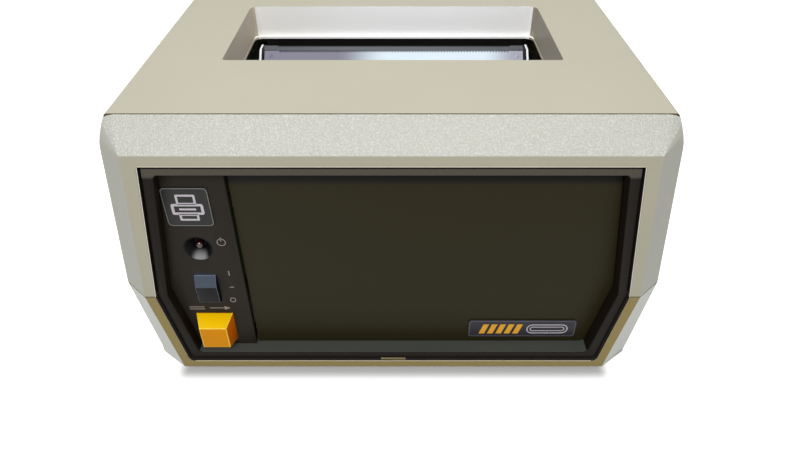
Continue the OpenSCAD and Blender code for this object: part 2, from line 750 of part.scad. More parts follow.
module rear_panel() color("#6a6a66") {
    difference() {
        block([-rear_panel_w / 2, rear_plate_y - rear_plate_t, rear_cut_low - 6],
            [rear_panel_w / 2, rear_plate_y, rear_cut_high + 6]);
        block([inlet_x - inlet_w / 2 - 2, rear_plate_y - wall, rear_mid_z - inlet_h / 2 - 2],
            [inlet_x + inlet_w / 2 + 2, rear_plate_y + slack, rear_mid_z + inlet_h / 2 + 2]);
        for (x = socket_xs)
            block([x - socket_w / 2 - 1.5, rear_plate_y - wall, rear_mid_z - socket_h / 2 - 1.5],
                [x + socket_w / 2 + 1.5, rear_plate_y + slack, rear_mid_z + socket_h / 2 + 1.5]);
        rod_y(fuse_x, rear_plate_y - wall, rear_plate_y + slack, rear_mid_z, 6);
    }
}
module mains_inlet() color("#1c1b1a") {
    difference() {
        union() {
            block([inlet_x - inlet_w / 2 - 2, rear_plate_y - inlet_d, rear_mid_z - inlet_h / 2 - 2],
                [inlet_x + inlet_w / 2 + 2, rear_plate_y, rear_mid_z + inlet_h / 2 + 2]);
            block([inlet_x - inlet_w / 2 - 5, rear_plate_y, rear_mid_z - inlet_h / 2 - 4],
                [inlet_x + inlet_w / 2 + 5, rear_plate_y + 1.6, rear_mid_z + inlet_h / 2 + 4]);
        }
        block([inlet_x - inlet_w / 2, rear_plate_y - inlet_d + 2, rear_mid_z - inlet_h / 2],
            [inlet_x + inlet_w / 2, rear_plate_y + wall, rear_mid_z + inlet_h / 2]);
    }
    for (at = [[-6, -2], [0, 2], [6, -2]])
        block([inlet_x + at[0] - 1, rear_plate_y - inlet_d + 2 - slack, rear_mid_z + at[1] - 2],
            [inlet_x + at[0] + 1, rear_plate_y - inlet_d + 10, rear_mid_z + at[1] + 2]);
}
module data_sockets() color("#26282b") {
    for (x = socket_xs) {
        difference() {
            union() {
                block([x - socket_w / 2 - 1.5, rear_plate_y - socket_d - 3, rear_mid_z - socket_h / 2 - 1.5],
                    [x + socket_w / 2 + 1.5, rear_plate_y, rear_mid_z + socket_h / 2 + 1.5]);
                block([x - socket_w / 2 - 6, rear_plate_y, rear_mid_z - socket_h / 2 - 3],
                    [x + socket_w / 2 + 6, rear_plate_y + 1.2, rear_mid_z + socket_h / 2 + 3]);
            }
            block([x - socket_w / 2, rear_plate_y - socket_d, rear_mid_z - socket_h / 2],
                [x + socket_w / 2, rear_plate_y + wall, rear_mid_z + socket_h / 2]);
        }
        block([x - socket_w / 2 + 3, rear_plate_y - socket_d - slack, rear_mid_z - 1],
            [x + socket_w / 2 - 3, rear_plate_y - socket_d + 4, rear_mid_z + 1]);
    }
}
module fuse_holder() color("#1c1b1a") {
    rod_y(fuse_x, rear_plate_y - fuse_l, rear_plate_y, rear_mid_z, 6);
    difference() {
        rod_y(fuse_x, rear_plate_y, rear_plate_y + wall - 0.4, rear_mid_z, 8);
        block([fuse_x - 5, rear_plate_y + wall - 1.2, rear_mid_z - 0.7],
            [fuse_x + 5, rear_plate_y + wall + slack, rear_mid_z + 0.7]);
    }
}
module panel_screws() color("#8d8f92") {
    for (x = [-screw_x, screw_x], z = [rear_cut_low + 5, rear_cut_high - 5])
        difference() {
            rod_y(x, rear_plate_y, rear_plate_y + 2, z, screw_r);
            block([x - 0.5, rear_plate_y + 1.2, z - screw_r], [x + 0.5, rear_plate_y + wall, z + screw_r]);
        }
}
board_side_gap = 17.6;
board_front_gap = 62;
board_rear_gap = 30;
board_x0 = -(bottom_half_w - board_side_gap);
board_x1 = board_x0 + board_w;
board_y0 = front_y + board_front_gap;
board_y1 = rear_y - board_rear_gap;
board_t = 1.6;
board_top = board_z + board_t;
module circuit_board() color("#2f5d3a") {
    difference() {
        block([board_x0, board_y0, board_z], [board_x1, board_y1, board_top]);
        for (y = [post_front_y, post_rear_y])
            translate([post_xs[0], y, board_z - slack])
                cylinder(h = board_t + 2 * slack, r = post_r + 1);
        // Clear of the legs of the paper roll's left bracket
        block([-bracket_x - bracket_t - 3, roll_y - 26, board_z - slack],
            [-bracket_x + 16, roll_y + 26, board_top + slack]);
    }
}
module chip(x, y, w, l, h) {
    translate([x, y, board_top])
        cube([w, l, h]);
}
chip_h = 4;
chip_pitch = 22;
big_chip = [14, 34];
small_chip = [7.6, 20];
driver_chip = [5, 26];
driver_h = 8;
driver_pitch = 10;
chip_y = board_y0 + 4; // front edge of the large chips
small_chip_y = chip_y + big_chip[1] + 32;
can_r = 6;
can_h = 14;
module board_parts() color("#1d1d1f") {
    can_y = mech_rear_y + can_r + 3;
    for (i = [0:3])
        chip(board_x0 + 28 + i * chip_pitch, chip_y, big_chip[0], big_chip[1], chip_h);
    for (i = [0:2])
        chip(board_x0 + 28 + i * chip_pitch, small_chip_y, small_chip[0], small_chip[1], chip_h);
    for (i = [0:3])
        chip(board_x1 - 42 + i * driver_pitch, board_y1 - 60, driver_chip[0], driver_chip[1], driver_h);
    for (x = [board_x1 - 32, board_x1 - 16])
        translate([x, can_y, board_top])
            cylinder(h = can_h, r = can_r);
}
transformer_x = bottom_half_w - wall - 12.6 - transformer_w / 2;
winding_l = 48; // length over the windings
core_l = 28;
module transformer() color("#7c7466") {
    y = roll_y - 8;
    half = transformer_w / 2;
    top = floor_z + transformer_h;
    block([transformer_x - half, y - core_l / 2, floor_z], [transformer_x + half, y + core_l / 2, top]);
    block([transformer_x - half * 2 / 3, y - winding_l / 2, floor_z + 8],
        [transformer_x + half * 2 / 3, y + winding_l / 2, top - 8]);
    for (side = [-1, 1])
        block([transformer_x + side * half - 4, y - 8, floor_z],
            [transformer_x + side * half + 4, y + 8, floor_z + 3]);
}
cap_x = mech_half_w + cap_r + 1;
cap_pitch = 2 * cap_r + 9;
module filter_capacitors() color("#3c5a86") {
    for (i = [0:1])
        translate([cap_x, mech_rear_y + 5 - i * cap_pitch, floor_z])
            cylinder(h = cap_h, r = cap_r);
}
sink_x = board_x0 + 14;
sink_rear_gap = 66;
sink_y = board_y1 - sink_rear_gap - sink_l;
sink_d = 16;
fin_t = 2;
module heat_sink() color("#9a9da0") {
    pitch = (sink_l - fin_t) / 5;
    block([sink_x, sink_y, board_top], [sink_x + 3, sink_y + sink_l, board_top + sink_h]);
    for (i = [0:5])
        block([sink_x + 3 - slack, sink_y + i * pitch, board_top],
            [sink_x + sink_d, sink_y + fin_t + i * pitch, board_top + sink_h]);
}

// ---------- Print mechanism ----------
tear_y = seam_y + tear_back;
tear_z = body_h - tear_drop;
paper_y = tear_y + 2.5;
print_z = body_h - print_drop;
plate_in = mech_half_w - mech_t; // inner face of a side plate
base_drop = 21; // from the parting line down to the mechanism's base
mech_front_l = 63; // from the paper to the front end of the mechanism
mech_rear_l = 33; // from the paper to its rear end
post_inset = 8;
mech_base_z = knee_z - base_drop;
mech_front_y = paper_y - mech_front_l;
mech_rear_y = paper_y + mech_rear_l;
post_front_y = mech_front_y + post_inset;
post_rear_y = mech_rear_y - post_inset - post_r;
rod_drop = 24; // from the print line down to the guide rods
rod_back = 32; // from the paper to the middle between the rods
rod_z = print_z - rod_drop;
rod_mid_y = paper_y - rod_back;
carriage_half_w = 20;
carriage_h = 12;
drum_y = rod_mid_y;
drum_z = rod_z - carriage_h / 2 - 2 - drum_r;
shaft_r = 2.5;
feed_y = paper_y + feed_r + 0.3;
feed_z = rod_z - 5;
pinch_y = paper_y - pinch_r - 0.3;
gear_slack = 0.15;
drive_pinion_angle = 215; // direction from the drum gear to its pinion, from +Y towards +Z
feed_pinion_angle = -50;
drive_centre = (drum_teeth + pinion_teeth) / 2 * gear_module + gear_slack;
feed_centre = (feed_teeth + pinion_teeth) / 2 * gear_module + gear_slack;
drive_pinion_y = drum_y + drive_centre * cos(drive_pinion_angle);
drive_pinion_z = drum_z + drive_centre * sin(drive_pinion_angle);
feed_pinion_y = feed_y + feed_centre * cos(feed_pinion_angle);
feed_pinion_z = feed_z + feed_centre * sin(feed_pinion_angle);
gear_x = plate_in - 3.5; // outer face of the gears, measured from the middle
motor_r = 16;
motor_l = 34;
motor_shaft_r = 1.5;
deck_z = print_z - 9;
deck_t = 1.5;
deck_front = front_y + 42;
spool_y = deck_front + spool_r + 8;

module gear(teeth, turn) {
    step = 360 / teeth;
    root = gear_module * (teeth / 2 - 1.2);
    tip = gear_module * (teeth / 2 + 0.95);
    polygon([for (i = [0:teeth - 1]) each [
        root * [cos(turn + (i - 0.3) * step), sin(turn + (i - 0.3) * step)],
        tip * [cos(turn + (i - 0.11) * step), sin(turn + (i - 0.11) * step)],
        tip * [cos(turn + (i + 0.11) * step), sin(turn + (i + 0.11) * step)],
        root * [cos(turn + (i + 0.3) * step), sin(turn + (i + 0.3) * step)]]]);
}
// A gear on a shaft along X, with its bore
module gear_on(x0, x1, y, z, teeth, turn, bore) {
    difference() {
        along_x(x0, x1)
            translate([y, z])
                gear(teeth, turn);
        rod_x(x0 - slack, x1 + slack, y, z, bore);
    }
}
cheek_z = tear_z - 2; // upper edge of the side plates beside the tear edge
module side_plate() {
    difference() {
        along_x(plate_in, mech_half_w)
            polygon([[mech_front_y, mech_base_z], [mech_rear_y, mech_base_z], [mech_rear_y, print_z + 4],
                [tear_y + 7, cheek_z], [tear_y - 2, cheek_z], [guide_y0 - 1, guide_z0 + 0.5],
                [bend_y - 1, bend_z + 1], [guide_y1 - 2, guide_z1 + 1.5], [guide_y1 - 8, deck_z + 6],
                [deck_front, deck_z + 6], [deck_front, deck_z - 6], [mech_front_y, deck_z - 22]]);
        rod_x(0, reach / 2, feed_y, feed_z, shaft_r + run_gap);
        rod_x(0, reach / 2, drum_y, drum_z, shaft_r + run_gap);
        for (side = [-1, 1])
            rod_x(0, reach / 2, rod_mid_y + side * rod_spread / 2, rod_z, rod_r);
        rod_x(0, reach / 2, drive_pinion_y, drive_pinion_z, 3);
        rod_x(0, reach / 2, feed_pinion_y, feed_pinion_z, 3);
    }
}
module side_plate_right() color("#b4b6b8") {
    side_plate();
}
module side_plate_left() color("#b4b6b8") {
    mirror([1, 0, 0])
        side_plate();
}
module mechanism_base() color("#a3a5a6") {
    block([-plate_in, mech_front_y, mech_base_z], [plate_in, mech_rear_y, mech_base_z + mech_t]);
    for (y = [mech_front_y, mech_rear_y - mech_t])
        block([-plate_in, y, mech_base_z], [plate_in, y + mech_t, mech_base_z + 9]);
}
// Places on the slope of the tear edge: s down the slope from the points of the teeth, deep below its plane
tear_c = cos(45);
function slope_y(s, deep) = tear_y + (deep - s) * tear_c;
function slope_z(s, deep) = tear_z - (deep + s) * tear_c;
guide_t = 1;
guide_y0 = slope_y(serration_l, tear_strip_t); // where the guide sheet comes out from under the strip
guide_z0 = slope_z(serration_l, tear_strip_t);
bend_y = slope_y(serration_l + guide_steep_l, tear_strip_t); // where it bends flatter
bend_z = slope_z(serration_l + guide_steep_l, tear_strip_t);
guide_y1 = tear_y - 26;
guide_z1 = print_z + 18.5;
guide_slope = (bend_z - guide_z1) / (bend_y - guide_y1);
blade_x0 = -(plate_in - 1.8); // ends of the tear edge, short of the side plates
blade_x1 = plate_in - 2.2;
rivet_s = 6.2;
// Strip with a row of teeth cut in each of its long edges
module tear_blade() color("#8f9294") {
    half = tooth_pitch * tooth_count / 2;
    low = tooth_h - serration_l;
    upper = [for (i = [0:tooth_count - 1]) each
        [[half - i * tooth_pitch, -tooth_h], [half - (i + 0.5) * tooth_pitch, 0]]];
    lower = [for (i = [0:tooth_count - 1]) each
        [[i * tooth_pitch - half, low], [(i + 0.5) * tooth_pitch - half, -serration_l]]];
    translate([0, tear_y, tear_z])
        rotate([45, 0, 0])
            translate([0, 0, -tear_strip_t])
                linear_extrude(tear_strip_t)
                    polygon(concat(
                        [[blade_x0, 0], [blade_x0, low]], lower,
                        [[half, low], [blade_x1, low], [blade_x1, 0], [half + 0.4, 0]],
                        upper, [[-half, -tooth_h], [-half - 0.4, 0]]));
}
// Bent sheet that carries the tear edge and covers the print head
module steel_guide() color("#c9cdd2") {
    top_s = tooth_h + 0.3;
    under = tear_strip_t + guide_t;
    along_x(blade_x0, blade_x1)
        polygon([[slope_y(top_s, tear_strip_t), slope_z(top_s, tear_strip_t)], [bend_y, bend_z],
            [guide_y1, guide_z1], [guide_y1, guide_z1 - guide_t],
            [bend_y + 0.55 * guide_t, bend_z - 0.87 * guide_t],
            [slope_y(top_s, under), slope_z(top_s, under)]]);
    // Ears that hold it between the side plates
    along_x(-plate_in, plate_in)
        polygon([[guide_y1 + 8, guide_z1 + 8 * guide_slope], [guide_y1, guide_z1],
            [guide_y1, guide_z1 - guide_t], [guide_y1 + 8, guide_z1 + 8 * guide_slope - guide_t]]);
    // Rivets on washers
    both_sides()
        translate([0, tear_y, tear_z])
            rotate([45, 0, 0])
                translate([plate_in - 6, -rivet_s, -tear_strip_t - guide_t / 2]) {
                    cylinder(h = guide_t / 2 + 0.3, r = 2.1);
                    cylinder(h = guide_t / 2 + 0.8, r = 1.2);
                }
}
// Black plate behind the paper's way, between the side plates
chute_y = tear_y + 19.5;
chute_t = 1.5;
module paper_chute() color("#1c1a18") {
    along_x(-plate_in, plate_in)
        polygon([[chute_y, cheek_z - 0.6], [chute_y + chute_t, cheek_z - 0.6],
            [chute_y + chute_t, print_z + 8], [paper_y + 8 + chute_t, print_z],
            [paper_y + 8, print_z], [paper_y + 8, print_z + 4.5], [chute_y, print_z + 10]]);
}
module platen() color("#55585c") {
    block([-plate_in, paper_y + 0.6, print_z - 10], [plate_in, paper_y + 8, print_z + 12]);
}
module guide_rods() color("#c4c7cb") {
    for (side = [-1, 1])
        rod_x(-mech_half_w, mech_half_w, rod_mid_y + side * rod_spread / 2, rod_z, rod_r);
}
module carriage() color("#3a3936") {
    difference() {
        union() {
            block([-carriage_half_w, rod_mid_y - rod_spread / 2 - rod_r - 2.5, rod_z - carriage_h / 2],
                [carriage_half_w, rod_mid_y + rod_spread / 2 + rod_r + 2, rod_z + carriage_h / 2]);
            block([4 - carriage_half_w, rod_mid_y - 9, rod_z],
                [carriage_half_w - 4, rod_mid_y + 7, print_z - head_r + 3]);
        }
        for (side = [-1, 1])
            rod_x(-carriage_half_w - slack, carriage_half_w + slack, rod_mid_y + side * rod_spread / 2, rod_z,
                rod_r + run_gap);
        rod_y(0, rod_mid_y - 20, rod_mid_y + 20, print_z, head_r);
    }
    // Follower pin over the drum
    translate([0, drum_y, drum_z + drum_r + 0.4])
        cylinder(h = 3, r = 1.6);
}
module print_head() color("#2b2c2e") {
    rod_y(0, rod_mid_y - 9, rod_mid_y + 7, print_z, head_r);
    rod_y(0, rod_mid_y - 13, rod_mid_y - 9, print_z, head_r - 4);
    intersection() {
        along_y(rod_mid_y + 7 - slack, paper_y - 1.8)
            polygon([[-7, print_z - 8], [7, print_z - 8], [7, print_z + 8], [-7, print_z + 8]]);
        along_x(-8, 8)
            polygon([[rod_mid_y, print_z - 8], [rod_mid_y + 12, print_z - 8], [paper_y - 1.8, print_z - 4],
                [paper_y - 1.8, print_z + 4], [rod_mid_y + 12, print_z + 8], [rod_mid_y, print_z + 8]]);
    }
}
module drive_drum() color("#d8d2c0") {
    rod_x(-carriage_reach - 12, carriage_reach + 12, drum_y, drum_z, drum_r);
    rod_x(-mech_half_w, mech_half_w, drum_y, drum_z, shaft_r);
}
module drum_gear() color("#e4dfcf") {
    gear_on(gear_x - gear_w, gear_x, drum_y, drum_z, drum_teeth, drive_pinion_angle, shaft_r);
}
module drive_pinion() color("#c9a24a") {
    gear_on(gear_x - gear_w, gear_x, drive_pinion_y, drive_pinion_z, pinion_teeth,
        drive_pinion_angle + 180 + 180 / pinion_teeth, motor_shaft_r);
    rod_x(gear_x - gear_w, mech_half_w + 1, drive_pinion_y, drive_pinion_z, motor_shaft_r);
}
module motor(y, z) {
    rod_x(mech_half_w + 1.5, mech_half_w + motor_l, y, z, motor_r);
    // Mounting washer round the shaft, against the side plate
    difference() {
        rod_x(mech_half_w, mech_half_w + 1.5 + slack, y, z, motor_r - 6);
        rod_x(mech_half_w - slack, mech_half_w + 1.5, y, z, 3);
    }
}
module drive_motor() color("#8b8d90") {
    motor(drive_pinion_y, drive_pinion_z);
}
module feed_shaft() color("#c4c7cb") {
    rod_x(-mech_half_w, mech_half_w, feed_y, feed_z, shaft_r);
}
module feed_rollers() color("#33302d") {
    for (side = [-1, 1])
        difference() {
            rod_x(side * roller_x - 10, side * roller_x + 10, feed_y, feed_z, feed_r);
            rod_x(side * roller_x - 11, side * roller_x + 11, feed_y, feed_z, shaft_r);
        }
}
module feed_gear() color("#e4dfcf") {
    gear_on(-gear_x, -gear_x + gear_w, feed_y, feed_z, feed_teeth, feed_pinion_angle, shaft_r);
}
module feed_pinion() color("#c9a24a") {
    gear_on(-gear_x, -gear_x + gear_w, feed_pinion_y, feed_pinion_z, pinion_teeth,
        feed_pinion_angle + 180 + 180 / pinion_teeth, motor_shaft_r);
    rod_x(-mech_half_w - 1, -gear_x + gear_w, feed_pinion_y, feed_pinion_z, motor_shaft_r);
}
module feed_motor() color("#8b8d90") {
    mirror([1, 0, 0])
        motor(feed_pinion_y, feed_pinion_z);
}
pinch_arm_x = roller_x + 14;
module pinch_rollers() color("#4a4744") {
    rod_x(-pinch_arm_x - 3, pinch_arm_x + 3, pinch_y, feed_z, shaft_r);
    for (side = [-1, 1])
        rod_x(side * roller_x - 9, side * roller_x + 9, pinch_y, feed_z, pinch_r);
}
module pinch_bracket() color("#a3a5a6") {
    both_sides() {
        difference() {
            along_x(pinch_arm_x, pinch_arm_x + mech_t)
                polygon([[pinch_y - 4.5, mech_base_z + mech_t], [pinch_y + 4.5, mech_base_z + mech_t],
                    [pinch_y + 4.5, feed_z + 5], [pinch_y - 4.5, feed_z + 5]]);
            rod_x(0, reach / 2, pinch_y, feed_z, shaft_r + run_gap);
        }
        block([pinch_arm_x, pinch_y - 4.5, mech_base_z + mech_t],
            [pinch_arm_x + 14, pinch_y + 4.5, mech_base_z + 2 * mech_t]);
    }
}

// ---------- Ribbon ----------
hub_r = 8;
post_pin_r = 3;
spool_z = deck_z + deck_t + 1;
spool_h = ribbon_h + 2;
wound_r = spool_r - 5;
ribbon_gap = 0.4;
ribbon_t = 0.3;
ribbon_side_x = spool_x + wound_r + ribbon_gap;
ribbon_back_y = paper_y - 1.2;
module ribbon_deck() color("#a3a5a6") {
    block([-plate_in, deck_front, deck_z], [plate_in, spool_y + spool_r + 3, deck_z + deck_t]);
    for (side = [-1, 1]) {
        translate([side * spool_x, spool_y, deck_z])
            cylinder(h = deck_t + spool_h + 3, r = post_pin_r);
        translate([side * spool_x, spool_y, deck_z])
            cylinder(h = deck_t + 0.7, r = hub_r);
    }
}
module ribbon_spool() {
    rotate_extrude()
        polygon([[post_pin_r + run_gap, 0], [spool_r, 0], [spool_r, 1], [wound_r, 1], [wound_r, spool_h - 1],
            [spool_r, spool_h - 1], [spool_r, spool_h], [post_pin_r + run_gap, spool_h]]);
}
module ribbon_spool_left() color("#2a2a2c") {
    translate([-spool_x, spool_y, spool_z])
        ribbon_spool();
}
module ribbon_spool_right() color("#2a2a2c") {
    translate([spool_x, spool_y, spool_z])
        ribbon_spool();
}
module ink_ribbon() color("#17161a") {
    low = spool_z + 1.2;
    high = low + ribbon_h - 0.6;
    both_sides()
        block([ribbon_side_x, spool_y, low], [ribbon_side_x + ribbon_t, ribbon_back_y, high]);
    block([-ribbon_side_x - ribbon_t, ribbon_back_y - ribbon_t, low],
        [ribbon_side_x + ribbon_t, ribbon_back_y, high]);
}

// ---------- Paper roll ----------
roll_y = mech_rear_y + roll_gap + roll_r;
bracket_x = roll_w / 2 + 8;
bracket_t = 2;
module roll_brackets() color("#a3a5a6") {
    both_sides() {
        difference() {
            along_x(bracket_x, bracket_x + bracket_t)
                polygon([[roll_y - 22, floor_z], [roll_y + 22, floor_z], [roll_y + 12, roll_axis_h + 8],
                    [roll_y - 12, roll_axis_h + 8]]);
            rod_x(0, reach / 2, roll_y, roll_axis_h, spindle_r + 0.08);
            block([0, roll_y - spindle_r - 0.08, roll_axis_h], [reach / 2, roll_y + spindle_r + 0.08, body_h]);
        }
        block([bracket_x - 12, roll_y - 22, floor_z],
            [bracket_x + bracket_t, roll_y + 22, floor_z + bracket_t]);
    }
}
module roll_spindle() color("#3a3936") {
    rod_x(-bracket_x - 10, bracket_x + 10, roll_y, roll_axis_h, spindle_r);
    both_sides() {
        rod_x(roll_w / 2 - 12, roll_w / 2, roll_y, roll_axis_h, core_r);
        rod_x(roll_w / 2, roll_w / 2 + 3, roll_y, roll_axis_h, core_r + 6);
    }
}
module paper_roll() color("#f1eee4") {
    difference() {
        rod_x(-roll_w / 2, roll_w / 2, roll_y, roll_axis_h, roll_r);
        rod_x(-roll_w, roll_w, roll_y, roll_axis_h, core_r);
    }
}

base_shell();
rubber_feet();
case_screws();
front_bezel();
upper_housing();
top_cover();
hinge_pins();
front_frame();
front_panel();
control_panel();
badge_plate();
name_plate();
lamp_cup();
power_lamp();
switch_body();
power_rocker();
rocker_pin();
key_switch();
advance_key();
rear_panel();
mains_inlet();
data_sockets();
fuse_holder();
panel_screws();
circuit_board();
board_parts();
transformer();
filter_capacitors();
heat_sink();
mechanism_base();
side_plate_left();
side_plate_right();
tear_blade();
steel_guide();
paper_chute();
platen();
guide_rods();
carriage();
print_head();
drive_drum();
drum_gear();
drive_motor();
drive_pinion();
feed_shaft();
feed_rollers();
feed_gear();
feed_motor();
feed_pinion();
pinch_rollers();
pinch_bracket();
ribbon_deck();
ribbon_spool_left();
ribbon_spool_right();
ink_ribbon();
roll_brackets();
roll_spindle();
paper_roll();
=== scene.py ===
import bpy, bmesh, json, math
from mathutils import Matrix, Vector

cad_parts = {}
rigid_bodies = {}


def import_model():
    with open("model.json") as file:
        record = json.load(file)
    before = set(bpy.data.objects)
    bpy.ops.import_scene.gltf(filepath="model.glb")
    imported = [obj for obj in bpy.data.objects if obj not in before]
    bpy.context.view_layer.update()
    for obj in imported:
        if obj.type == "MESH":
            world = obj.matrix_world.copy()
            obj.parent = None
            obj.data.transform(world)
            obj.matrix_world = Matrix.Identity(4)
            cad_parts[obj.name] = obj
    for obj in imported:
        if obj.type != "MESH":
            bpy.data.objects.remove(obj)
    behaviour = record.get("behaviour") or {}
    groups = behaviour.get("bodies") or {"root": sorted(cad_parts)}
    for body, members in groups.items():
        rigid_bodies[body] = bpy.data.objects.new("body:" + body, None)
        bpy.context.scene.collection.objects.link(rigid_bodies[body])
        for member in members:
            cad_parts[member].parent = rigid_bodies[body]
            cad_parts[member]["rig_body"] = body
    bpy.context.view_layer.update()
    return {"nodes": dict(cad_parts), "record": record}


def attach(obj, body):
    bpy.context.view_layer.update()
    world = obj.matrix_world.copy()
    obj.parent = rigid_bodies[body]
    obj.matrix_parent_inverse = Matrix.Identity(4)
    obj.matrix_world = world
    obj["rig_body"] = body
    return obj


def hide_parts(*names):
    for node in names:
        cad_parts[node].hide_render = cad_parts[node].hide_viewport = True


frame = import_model()
scene = bpy.context.scene
NODES = frame["nodes"]

# ---------------------------------------------------------------- camera
# Place in metres, tilt in degrees up from straight down, lens and sensor in millimetres
CAM_PLACE = (0.0042, -0.4415, 0.318)
CAM_TILT = 52.44
CAM_LENS = 28.53
SENSOR_W = 36

cam_data = bpy.data.cameras.new("camera")
cam = bpy.data.objects.new("camera", cam_data)
scene.collection.objects.link(cam)
cam_data.sensor_width = SENSOR_W
cam_data.lens = CAM_LENS
cam_data.clip_start, cam_data.clip_end = 0.01, 50
cam.location = CAM_PLACE
cam.rotation_euler = (math.radians(CAM_TILT), 0, 0)
scene.camera = cam
scene.view_settings.view_transform = "Standard"


# ---------------------------------------------------------------- places on the CAD nodes
def mm(v):
    return v * 0.001


def box_of(node):
    """The lowest and the highest corner of a CAD node in metres."""
    points = [v.co for v in NODES[node].data.vertices]
    return [[round(pick(co[axis] for co in points), 6) for axis in range(3)] for pick in (min, max)]


def middle_of(node):
    """The middle of a CAD node, seen from the front, as x and z in mm."""
    low, high = box_of(node)
    return [round((low[axis] + high[axis]) * 500, 1) for axis in (0, 2)]


def front_of(node):
    """The y in mm of a CAD node's foremost face."""
    return round(box_of(node)[0][1] * 1000, 1)


# ---------------------------------------------------------------- shader helpers
def srgb(r, g, b):
    """A colour given by its values on screen, 0 to 255."""
    def lin(c):
        c /= 255
        return c / 12.92 if c <= 0.04045 else ((c + 0.055) / 1.055) ** 2.4
    return (lin(r), lin(g), lin(b), 1)


WHITE = (1, 1, 1, 1)
BLACK = (0, 0, 0, 1)


def node_material(name):
    m = bpy.data.materials.new(name)
    m.use_nodes = True
    t = m.node_tree
    return m, t, t.nodes["Principled BSDF"]


def plug(t, v, socket):
    """Gives an input its value, or links it where v is another node's output."""
    if isinstance(v, bpy.types.NodeSocket):
        t.links.new(v, socket)
    else:
        socket.default_value = v


def add(t, kind, **sockets):
    """A new node with its inputs filled."""
    n = t.nodes.new(kind)
    for key, v in sockets.items():
        plug(t, v, n.inputs[key])
    return n


def calc(t, operation, *terms):
    """What a Math node makes of outputs and numbers."""
    n = t.nodes.new("ShaderNodeMath")
    n.operation = operation
    for v, socket in zip(terms, n.inputs):
        plug(t, v, socket)
    return n.outputs[0]


def colour_mix(t, a, b, factor):
    """A colour between a and b; all three are outputs or values."""
    mix = t.nodes.new("ShaderNodeMix")
    mix.data_type = "RGBA"
    for key, v in (("Factor", factor), ("A", a), ("B", b)):
        plug(t, v, [s for s in mix.inputs if s.name == key and s.enabled][0])
    return [s for s in mix.outputs if s.enabled][0]


def remap(t, value, start, end, low=0.0, high=1.0, smooth=False):
    """Low where value is at start, high where it is at end, and held there beyond them."""
    n = t.nodes.new("ShaderNodeMapRange")
    if smooth:
        n.interpolation_type = "SMOOTHSTEP"
    plug(t, value, n.inputs["Value"])
    for key, v in (("From Min", start), ("From Max", end), ("To Min", low), ("To Max", high)):
        n.inputs[key].default_value = v
    return n.outputs["Result"]


def noise(t, where, scale, detail=3.0, roughness=0.6):
    """Random values round 0.5, with about scale patches per metre."""
    n = add(t, "ShaderNodeTexNoise", Vector=where, Scale=scale, Detail=detail, Roughness=roughness)
    return n.outputs["Fac"]


def bumps(t, p, height, strength, depth):
    """Lets the surface p rise and fall with an output, by at most depth in metres."""
    bump = add(t, "ShaderNodeBump", Strength=strength, Distance=depth, Height=height)
    t.links.new(bump.outputs["Normal"], p.inputs["Normal"])


def with_zones(t, where, tone, zones):
    """A tone with others along it: a zone's colour comes in between start and end of an axis, in metres."""
    for axis, start, end, other in zones:
        place = add(t, "ShaderNodeSeparateXYZ", Vector=where).outputs["XYZ".index(axis)]
        tone = colour_mix(t, tone, other, remap(t, place, start, end, smooth=True))
    return tone


# ---------------------------------------------------------------- kinds of material
MAT = {}
PATCHES = 14.0      # patches of a plastic's slightly uneven colour, per metre
BRUSHING = 900.0    # lines of a metal's brushing, per metre


def plastic(name, colour, rough, spec=0.5, tint=0.04, grain=0.0, cell=0.0012, depth=0.0003, coat=0.0,
            zones=(), painted_glints=0.0):
    """Moulded plastic with a slightly uneven colour, and with a pebbled or fine grain.

    tint: how much darker and paler the colour gets.
    grain: strength of the grain. cell, depth: width and height of its pebbles in metres.
    zones: (axis, start, end, colour) of other tones along the piece.
    painted_glints: how far random fine spots are painted towards white, as a share of white. These are
    painted highlights that stand in for glints on the grain.
    """
    m, t, p = node_material(name)
    where = t.nodes.new("ShaderNodeTexCoord").outputs["Object"]
    low = tuple(c * (1 - tint) for c in colour[:3]) + (1,)
    high = tuple(min(1, c * (1 + tint)) for c in colour[:3]) + (1,)
    tone = with_zones(t, where, colour_mix(t, low, high, noise(t, where, PATCHES)), zones)
    # Painted highlights: fine random spots painted paler stand in for glints of light on the grain
    if painted_glints > 0:
        glint_spots = noise(t, where, 0.8 / cell, 2.0, 0.7)
        tone = colour_mix(t, tone, WHITE, remap(t, glint_spots, 0.45, 0.75, 0, painted_glints))
    t.links.new(tone, p.inputs["Base Color"])
    p.inputs["Roughness"].default_value = rough
    p.inputs["Specular IOR Level"].default_value = spec
    p.inputs["Coat Weight"].default_value = coat
    p.inputs["Coat Roughness"].default_value = 0.15
    if grain > 0:
        cells = add(t, "ShaderNodeTexVoronoi", Vector=where, Scale=1 / cell)
        cells.feature = "SMOOTH_F1"
        cells.inputs["Smoothness"].default_value = 0.5
        fine = noise(t, where, 1.6 / cell)
        bumps(t, p, calc(t, "ADD", cells.outputs["Distance"], fine), grain, depth)
    MAT[name] = m


def metal(name, colour, rough, grain=0.0, stretch=(1, 1, 1), spread=0.08, zones=()):
    """Bare metal, with zones as in plastic().

    stretch: draws the faint brushing out along an axis. spread: how much rougher and smoother its lines are.
    """
    m, t, p = node_material(name)
    p.inputs["Metallic"].default_value = 1.0
    where = t.nodes.new("ShaderNodeTexCoord").outputs["Object"]
    plug(t, with_zones(t, where, colour, zones), p.inputs["Base Color"])
    drawn = add(t, "ShaderNodeMapping", Vector=where, Scale=stretch).outputs["Vector"]
    lines = noise(t, drawn, BRUSHING)
    t.links.new(remap(t, lines, 0, 1, max(0.02, rough - spread), rough + spread), p.inputs["Roughness"])
    if grain > 0:
        bumps(t, p, lines, grain, 0.0001)
    MAT[name] = m


